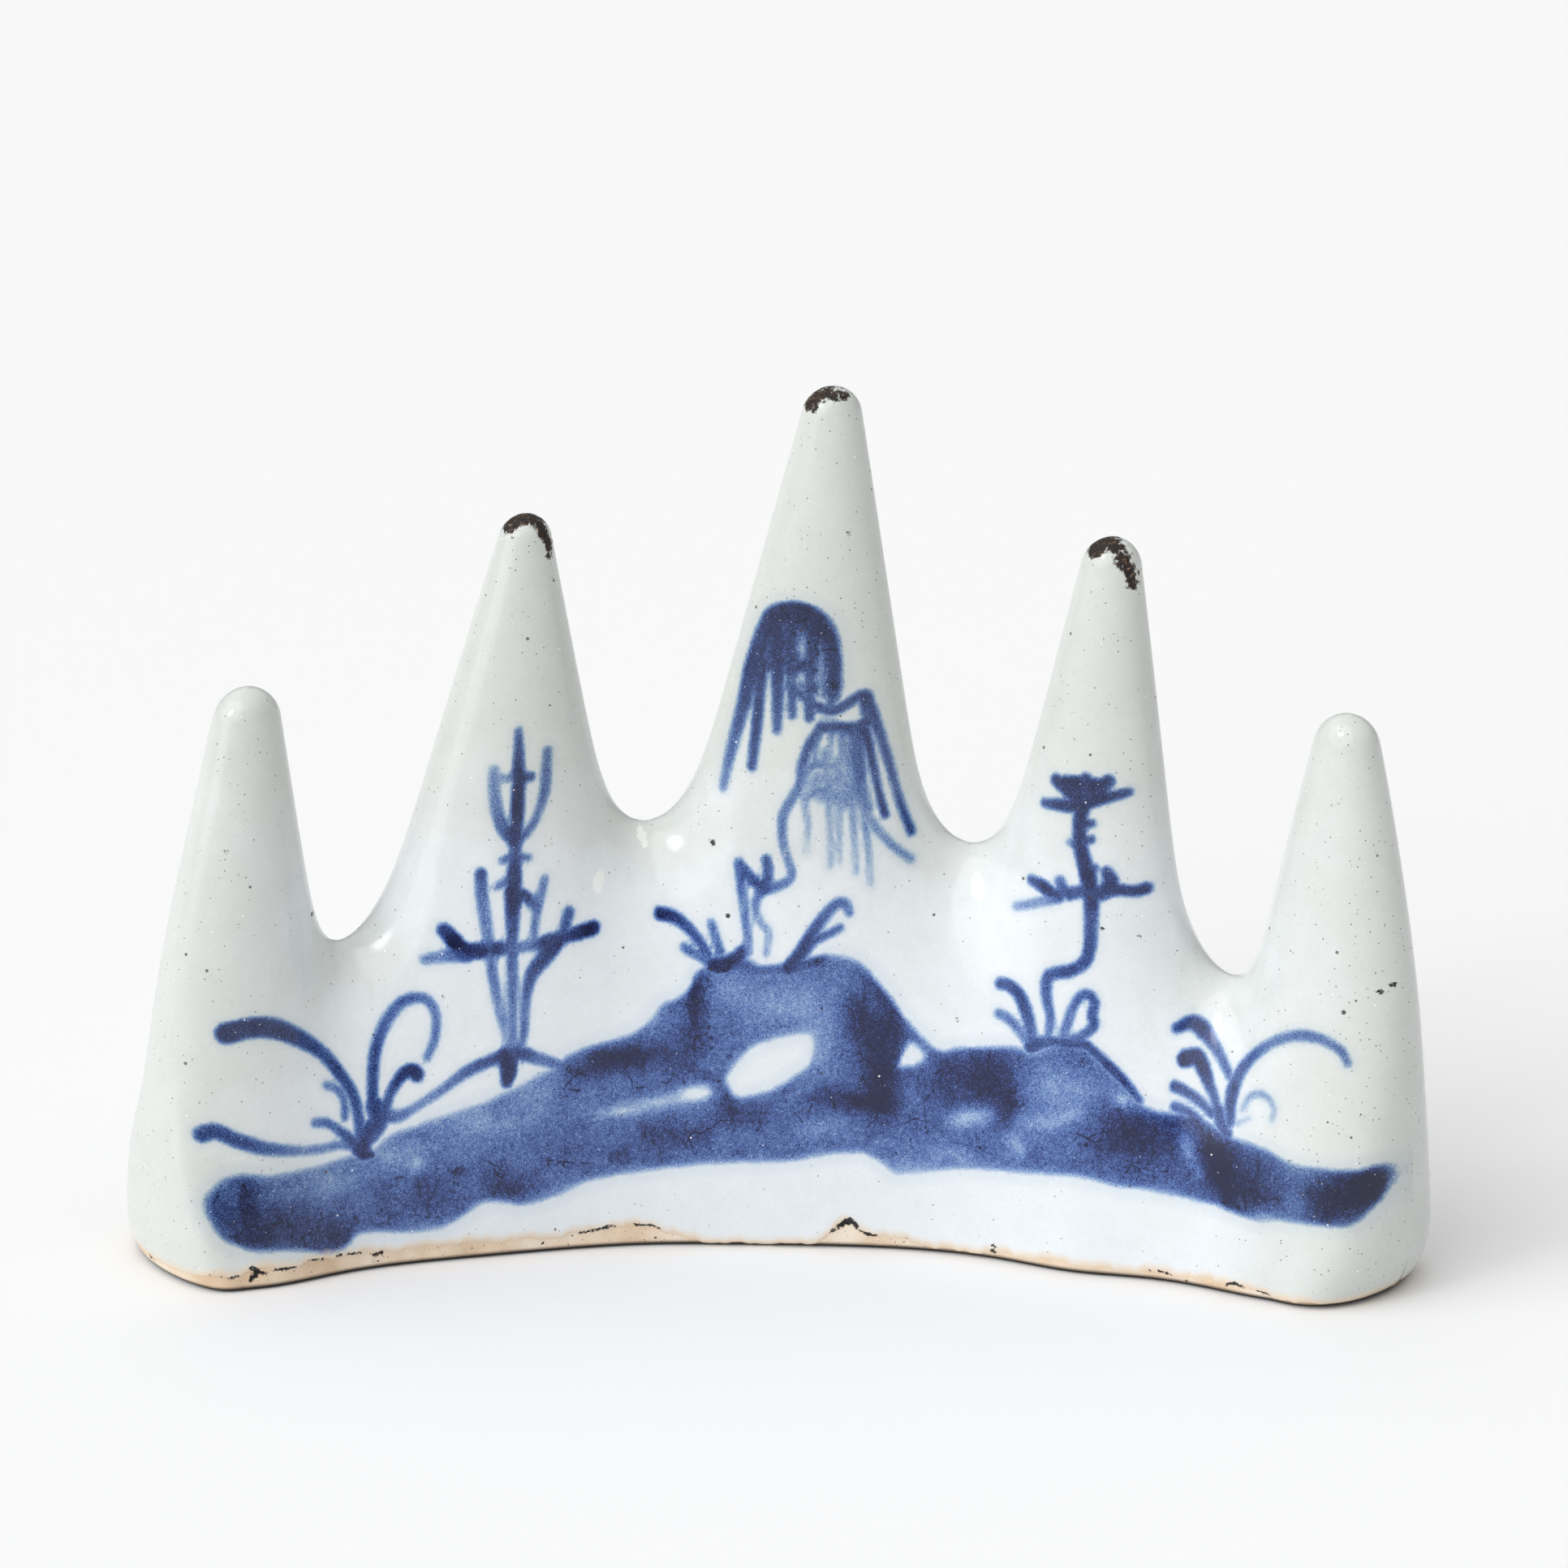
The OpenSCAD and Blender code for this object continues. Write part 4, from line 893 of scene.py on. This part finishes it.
# Colour of the painted highlight spots
GLAZE_GLINT = "#eff1ed"
GLAZE_OVER_FOOT = "#e6d0b4"
GLAZE_IOR = 1.5
INK_BLEED_MM = 0.17
CRACK_CELL_MM = 3.6
CRACK_SHARE = 0.02
CRACK_BEND_MM = 2.5
CRACK_BEND_M = (0.003, 0.003, 0.0015)
STREAK_MM = 1.6
STREAK_FLATTENING = 0.12
SPECK_CROWDING = 0.6
COBALT_JOIN = 0.08
GRAIN_STEP = (0.1, 0.5, 0.0, 1.1)
CRACK_DARKNESS_STEP = (0.96, 1.1, 0.0, 0.45)
GLAZE_ROUGHNESS = 0.1
ROUGHNESS_CHANGE = 0.08
# Roughness of the burnt tips and of the painted highlight spots
BURNT_AND_GLINT_ROUGHNESS = {"burnt": 0.7, "flaked": 0.6}
RIPPLE_SHARE = 0.3
GLAZE_BUMP = {"Strength": 0.25, "Distance": 0.0002}
COBALT = [
    (0.0, "#ffffff"), (0.15, "#dfe8f4"), (0.3, "#afc5e2"), (0.42, "#91abd6"), (0.52, "#7694cb"),
    (0.62, "#5a7abc"), (0.72, "#4560a4"), (0.81, "#344988"), (0.9, "#253066"), (1.0, "#111a42"),
]  # fmt: skip
MOTTLE = [(0.3, 0.93), (0.7, 1.0)]
BURNT = [(0.3, "#0e0907"), (0.5, "#20130b"), (0.62, "#3c2717"), (0.78, "#a58d76")]
# Noise in the glaze: size in mm, detail, roughness
GRAINS = {
    "fine": (0.11, 1.0, 0.5), "small": (0.5, 2.0, 0.5), "broad": (3.0, 3.0, 0.5), "wide": (14.0, 2.0, 0.5),
    "knots": (0.7, 4.0, 0.7), "ash": (0.5, 3.0, 0.5), "ripple": (2.2, 2.0, 0.5),
}  # fmt: skip
# Values that noise makes uneven: the value, what is added to it, and how much of each noise
UNEVEN = {
    "ink_edge": ("ink", -0.3 - INK_BLEED_MM, {"fine": 0.3, "small": 0.3}),
    "wash_edge": ("wash", -0.7, {"broad": 0.7, "small": 0.5}),
    "ink_shade": ("ink_tone", -0.2, {"broad": 0.3}),
    "wash_shade": ("wash_tone", -0.37, {"broad": 0.34, "small": 0.4}),
    "frit_edge": ("frit", -1.2, {"knots": 2.4}),
    "flake_edge": ("flake", -0.6, {"small": 1.2}),
    "foot_edge": ("edge", 0.0, {"small": -0.8}),
    # painted shade round the valley saddles, broken up by streaky noise
    "run_depth": ("saddle", 0.0, {"streaks": 0.9}),
    "up_uneven": ("up", -0.015, {"wide": 0.03}),
    "along_uneven": ("along", -0.015, {"wide": 0.03}),
}
# Smooth steps: the value, where the step starts and ends, and what it gives before and after
STEPS = {
    "ink_on": ("ink_edge", -0.5, 0.4, 1.0, 0.0),
    "wash_on": ("wash_edge", -0.8, 0.4, 1.0, 0.0),
    "ink_halo": ("ink", 0.0, 1.6, 0.07, 0.0),
    "wash_halo": ("wash", 0.0, 2.5, 0.08, 0.0),
    "ink_rim": ("ink", -0.7, 0.0, 0.04, -0.06),
    "wash_rim": ("wash", -1.4, -0.2, 0.0, -0.12),
    # painted shade: greyer up the peaks and towards both ends
    "shade_above": ("up_uneven", 0.036, 0.066, 0.0, 1.0),
    "shade_ends": ("along_uneven", 0.042, 0.07, 0.0, 0.9),
    # painted shade round the valley saddles
    "run": ("run_depth", 0.45, 1.5, 0.0, 0.32),
    "right_end": ("across", 0.06, 0.068, 0.0, 0.7),
    "burnt": ("frit_edge", -0.25, 0.05, 1.0, 0.0),
    # painted highlight spots
    "flaked": ("flake_edge", -0.2, 0.1, 0.85, 0.0),
    "over_foot": ("foot_edge", -0.3, 1.1, 0.9, 0.0),
}
# Specks in the glaze: cell in mm, share of cells with one, radius in mm, colour, strength
SPECKS = [
    (2.6, 0.4, 0.2, "#3b2f26", 0.8), (1.1, 0.3, 0.09, "#6b6250", 0.6), (6.0, 0.25, 0.3, "#1f1712", 0.9),
    (1.7, 0.25, 0.12, "#ffffff", 0.8), (0.8, 0.5, 0.095, "#5b5348", 0.8), (0.7, 0.4, 0.08, "#dfe6f2", 0.6),
]  # fmt: skip
SMOOTH = {"interpolation_type": "SMOOTHSTEP"}
COLOURS = {"data_type": "RGBA"}
TIMES = {"operation": "MULTIPLY"}
TIMES_PLUS = {"operation": "MULTIPLY_ADD"}
LARGER = {"operation": "MAXIMUM"}


def glaze_fields(node, here):
    """Nodes by name: point values, places, noises, uneven values and steps that the glaze is made of."""
    names = ("ink", "ink_tone", "wash", "wash_tone", "edge", "frit", "flake", "saddle")
    field = {key: node("Attribute", attribute_name=key) for key in names}
    for key, (size_mm, detail, rough) in GRAINS.items():
        inputs = {"Vector": here, "Scale": PER_METRE / size_mm, "Detail": detail, "Roughness": rough}
        field[key] = node("TexNoise", inputs)
    upright = node("Mapping", {"Vector": here, "Scale": (1.0, 1.0, STREAK_FLATTENING)})
    field["streaks"] = node("TexNoise", {"Vector": upright, "Scale": PER_METRE / STREAK_MM, "Detail": 3.0})
    field["across"], _, field["up"] = node("SeparateXYZ", [here]).outputs
    field["along"] = node("Math", [field["across"]], operation="ABSOLUTE")
    for key, (source, shift, amounts) in UNEVEN.items():
        field[key] = node("Math", [field[source], shift])
        for grain, amount in amounts.items():
            field[key] = node("Math", [field[grain], amount, field[key]], **TIMES_PLUS)
    for key, (source, *limits) in STEPS.items():
        field[key] = node("MapRange", [field[source], *limits], **SMOOTH)
    return field


def cobalt_density(node, here, field):
    """Thickness of the cobalt: the larger of ink and wash, with halo, fine grain and dark crackle."""
    laid = []
    for kind in ("ink", "wash"):
        shade = node("Math", [field[kind + "_shade"], field[kind + "_rim"]])
        laid.append(node("Math", [field[kind + "_on"], shade], **TIMES))
    density = node("Math", [laid[0], laid[1], COBALT_JOIN], operation="SMOOTH_MAX")
    for kind in ("ink_halo", "wash_halo"):
        density = node("Math", [density, field[kind]], **LARGER)
    grain = node("Math", [field["fine"], -0.5])
    grainy = node("MapRange", [density, *GRAIN_STEP], **SMOOTH)
    grained = node("Math", [grain, grainy, density], **TIMES_PLUS)

    bend = node("TexNoise", {"Vector": here, "Scale": PER_METRE / CRACK_BEND_MM, "Detail": 3.0})
    bent = node("VectorMath", [bend.outputs["Color"], CRACK_BEND_M, here], **TIMES_PLUS)
    squeezed = node("Mapping", {"Vector": bent, "Scale": (1.0, 1.0, 0.5)})
    cell = {"Vector": squeezed, "Scale": PER_METRE / CRACK_CELL_MM}
    away = node("TexVoronoi", cell, feature="DISTANCE_TO_EDGE").outputs["Distance"]
    crack = node("MapRange", [away, 0.0, CRACK_SHARE, 1.0, 0.0], **SMOOTH)
    crack = node("Math", [crack, field["wash_on"]], **TIMES)
    dark = node("Math", [field["broad"], 0.5, density], **TIMES_PLUS)
    dark = node("MapRange", [dark, *CRACK_DARKNESS_STEP], **SMOOTH)
    return node("Math", [crack, dark, grained], **TIMES_PLUS)


def glaze_material():
    """Clear gloss glaze over cobalt brush painting on porcelain, once-fired in a wood kiln.

    Gives a wet, cool white with soft reflections, blue strokes with feathered edges and a fine grain,
    iron specks, burnt tips and a warmer tint where the glaze thins out at its lower edge. Its white
    is painted greyer up the peaks, towards both ends and round the valley saddles as painted shade,
    and two pale spots on the inner left peak are painted highlights.
    """
    made, tree, shader = material("porcelain_cobalt_under_clear_glaze")
    node = partial(add, tree)
    here = node("TexCoord").outputs["Object"]
    field = glaze_fields(node, here)
    cobalt = node("ValToRGB", {"Fac": cobalt_density(node, here, field)}, stops=COBALT)

    # Painted shade: the glaze greyer above about 36 mm and towards both ends, where the specks also crowd
    painted_shade = node("Math", [field["shade_above"], field["shade_ends"]], **LARGER)
    cloud = node("Math", [field["broad"], 0.5], **TIMES)
    cloud = node("Math", [field["small"], 0.5, cloud], **TIMES_PLUS)
    mottle = node("ValToRGB", {"Fac": cloud}, stops=MOTTLE)
    body = node("Mix", {0: painted_shade, 6: linear(GLAZE_LIT_WHITE), 7: linear(GLAZE_SHADED_GREY)}, **COLOURS)
    # Painted shade round the valley saddles
    body = node("Mix", {0: field["run"], 6: body, 7: linear(GLAZE_SADDLE_SHADE)}, **COLOURS)
    for layer in (mottle, cobalt):
        body = node("Mix", {0: 1.0, 6: body, 7: layer}, blend_type="MULTIPLY", **COLOURS)

    crowd = node("Math", [painted_shade, field["right_end"]])
    for cell_mm, share, radius, colour, strength in SPECKS:
        cells = node("TexVoronoi", {"Vector": here, "Scale": PER_METRE / cell_mm})
        pick = node("SeparateColor", [cells.outputs["Color"]]).outputs[0]
        crowded = SPECK_CROWDING * share
        picked = node("Math", [crowd, crowded, pick], **TIMES_PLUS)
        size = node("MapRange", [picked, 1 - crowded, 1.0, 0.0, radius / cell_mm], **SMOOTH)
        shown = node("Math", [cells.outputs["Distance"], size], operation="LESS_THAN")
        shown = node("Math", [shown, strength], **TIMES)
        body = node("Mix", {0: shown, 6: body, 7: linear(colour)}, **COLOURS)
    for share, colour in (
        (field["burnt"], node("ValToRGB", {"Fac": field["ash"]}, stops=BURNT)),
        # painted highlight spots
        (field["flaked"], linear(GLAZE_GLINT)),
        (field["over_foot"], linear(GLAZE_OVER_FOOT)),
        (grit_mask(tree, here), linear(GRIT_BLACK)),
    ):
        body = node("Mix", {0: share, 6: body, 7: colour}, **COLOURS)

    rough = node("Math", [field["wide"], ROUGHNESS_CHANGE, GLAZE_ROUGHNESS], **TIMES_PLUS)
    for kind, roughness in BURNT_AND_GLINT_ROUGHNESS.items():
        matte = node("Math", [field[kind], roughness], **TIMES)
        rough = node("Math", [rough, matte], **LARGER)
    crust = node("Math", [field["burnt"], field["fine"]], **TIMES)
    waves = node("Math", [field["ripple"], RIPPLE_SHARE, crust], **TIMES_PLUS)
    bump = node("Bump", {"Height": waves, **GLAZE_BUMP})
    fill(shader, {"Base Color": body, "Roughness": rough, "Normal": bump, "IOR": GLAZE_IOR})
    return made


CLAY_CLOUDS = [(0.3, "#d3b595"), (0.5, "#e6d0b6"), (0.7, "#f0e3d2")]
CLAY_GRAIN = "#5a4332"
CLAY_CLOUD_MM = 6
CLAY_ROUGHNESS = 0.85
CLAY_BUMP = {"Strength": 0.4, "Distance": 0.0001}
# Painted shade along the bottom edge of the clay: its near-black colour, and the heights in metres over
# which it fades out
FOOT_SHADE = "#2b211b"
FOOT_SHADE_BELOW_M = (0.0004, 0.0009)


def clay_material():
    """Biscuit porcelain flushed orange at the bare foot: dry and warm, with dark grains and grit, and
    painted shade along its bottom edge.
    """
    made, tree, shader = material("biscuit_porcelain_flushed")
    node = partial(add, tree)
    here = node("TexCoord").outputs["Object"]
    cloud = node("TexNoise", {"Vector": here, "Scale": PER_METRE / CLAY_CLOUD_MM, "Detail": 5.0})
    body = node("ValToRGB", {"Fac": cloud}, stops=CLAY_CLOUDS)
    grain = node("TexNoise", {"Vector": here, "Scale": PER_METRE / GRIT_GRAIN_MM, "Detail": 2.0})
    up = node("SeparateXYZ", [here]).outputs[2]
    for share, colour in (
        (node("ValToRGB", {"Fac": grain}, stops=[(0.68, 0.0), (0.74, 1.0)]), CLAY_GRAIN),
        # painted shade at the bottom edge, where the foot meets the table
        (node("MapRange", [up, *FOOT_SHADE_BELOW_M, 1.0, 0.0]), FOOT_SHADE),
        (grit_mask(tree, here), GRIT_BLACK),
    ):
        body = node("Mix", {0: share, 6: body, 7: linear(colour)}, **COLOURS)
    bump = node("Bump", {"Height": grain, **CLAY_BUMP})
    fill(shader, {"Base Color": body, "Roughness": CLAY_ROUGHNESS, "Normal": bump})
    return made


# Camera: a long lens 0.9 m away and 20 degrees above the table
EYE = (42.7, -835.4, 347.8)
AHEAD = (-0.0478, 0.9385, -0.3420)
ACROSS = (0.9987, 0.0509, 0.0)
LENS_MM = 174.9
SENSOR_MM = 36
SHIFT_X = 0.0024
SHIFT_Y = 0.0691


def make_camera():
    """Camera looking along AHEAD, with its side along ACROSS."""
    data = bpy.data.cameras.new("camera")
    data.lens = LENS_MM
    data.sensor_width = SENSOR_MM
    data.shift_x = SHIFT_X
    data.shift_y = SHIFT_Y
    data.clip_start, data.clip_end = 0.05, 20
    ahead = Vector(AHEAD).normalized()
    across = Vector(ACROSS).normalized()
    upward = across.cross(ahead)
    turn = Matrix((across, upward, -ahead)).transposed().to_4x4()
    obj = bpy.data.objects.new("camera", data)
    obj.matrix_world = Matrix.Translation(Vector(EYE) * MM) @ turn
    bpy.context.scene.collection.objects.link(obj)
    bpy.context.scene.camera = obj


def sun_lamp(name, towards, spread_deg, strength):
    """Even light from a direction, as wide as spread_deg, so that the table is lit alike everywhere."""
    data = bpy.data.lights.new(name, "SUN")
    data.angle = math.radians(spread_deg)
    data.energy = strength
    obj = bpy.data.objects.new(name, data)
    obj.rotation_euler = Vector(towards).to_track_quat("Z", "Y").to_euler()
    bpy.context.scene.collection.objects.link(obj)


# Lamps: name, the direction that the light comes from, its spread in degrees, its strength
LAMPS = [
    ("window_left", (-0.63, -0.53, 0.57), 70, 1.68),
    ("ceiling", (0.0, 0.1, 1.0), 110, 1.5),
    ("soft_box", (-0.64, -0.54, 0.55), 16, 0.4),
]
SKY = "#f4f5f7"
SKY_STRENGTH = 0.22
PAPER = "#f4f4f4"
TABLE_HALF_M = 3.0


def studio():
    """White table under even surrounding light and the lamps."""
    world = bpy.data.worlds.new("studio")
    bpy.context.scene.world = world
    world.use_nodes = True
    fill(world.node_tree.nodes["Background"], {"Color": linear(SKY), "Strength": SKY_STRENGTH})
    for lamp in LAMPS:
        sun_lamp(*lamp)
    corners = np.array([[-1, -1, 0], [1, -1, 0], [1, 1, 0], [-1, 1, 0]]) * TABLE_HALF_M
    floor = new_mesh("table_top", corners, np.array([[0, 1, 2, 3]]))
    paper, _, shader = material("white_paper_sweep")
    fill(shader, {"Base Color": linear(PAPER), "Roughness": 0.9, "Specular IOR Level": 0.1})
    floor.data.materials.append(paper)
    floor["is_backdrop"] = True


def write_size(when, sizes):
    sizes[when] = [list(v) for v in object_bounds()]


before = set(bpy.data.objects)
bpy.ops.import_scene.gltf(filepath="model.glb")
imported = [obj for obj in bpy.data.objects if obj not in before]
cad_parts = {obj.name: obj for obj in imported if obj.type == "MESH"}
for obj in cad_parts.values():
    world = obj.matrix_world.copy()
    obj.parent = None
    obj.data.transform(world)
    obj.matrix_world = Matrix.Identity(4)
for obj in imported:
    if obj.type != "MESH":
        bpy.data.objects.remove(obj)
sizes = {}
write_size("frame", sizes)

glaze_front = glaze_piece("glaze_front", -1, FRONT_COLUMNS, FRONT_EDGE)
glaze_back = glaze_piece("glaze_back", 1, BACK_COLUMNS, BACK_EDGE)
clay_front = clay_piece("clay_front", -1)
clay_back = clay_piece("clay_back", 1)
glaze = glaze_material()
for piece in (glaze_front, glaze_back):
    piece.data.materials.append(glaze)
clay = clay_material()
for piece in (clay_front, clay_back):
    piece.data.materials.append(clay)
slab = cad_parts["base_slab"]
slab.data.materials.clear()
slab.data.materials.append(clay)

for piece, node, slot_name in (
    (glaze_front, "glaze_coat", "glaze"),
    (glaze_back, "glaze_coat", "glaze"),
    (clay_front, "front_half", "bare_clay"),
    (clay_back, "back_half", "bare_clay"),
):
    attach(piece, "root")
    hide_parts(node)

make_camera()
studio()
bpy.context.scene.view_settings.view_transform = "Standard"
write_size("finished", sizes)
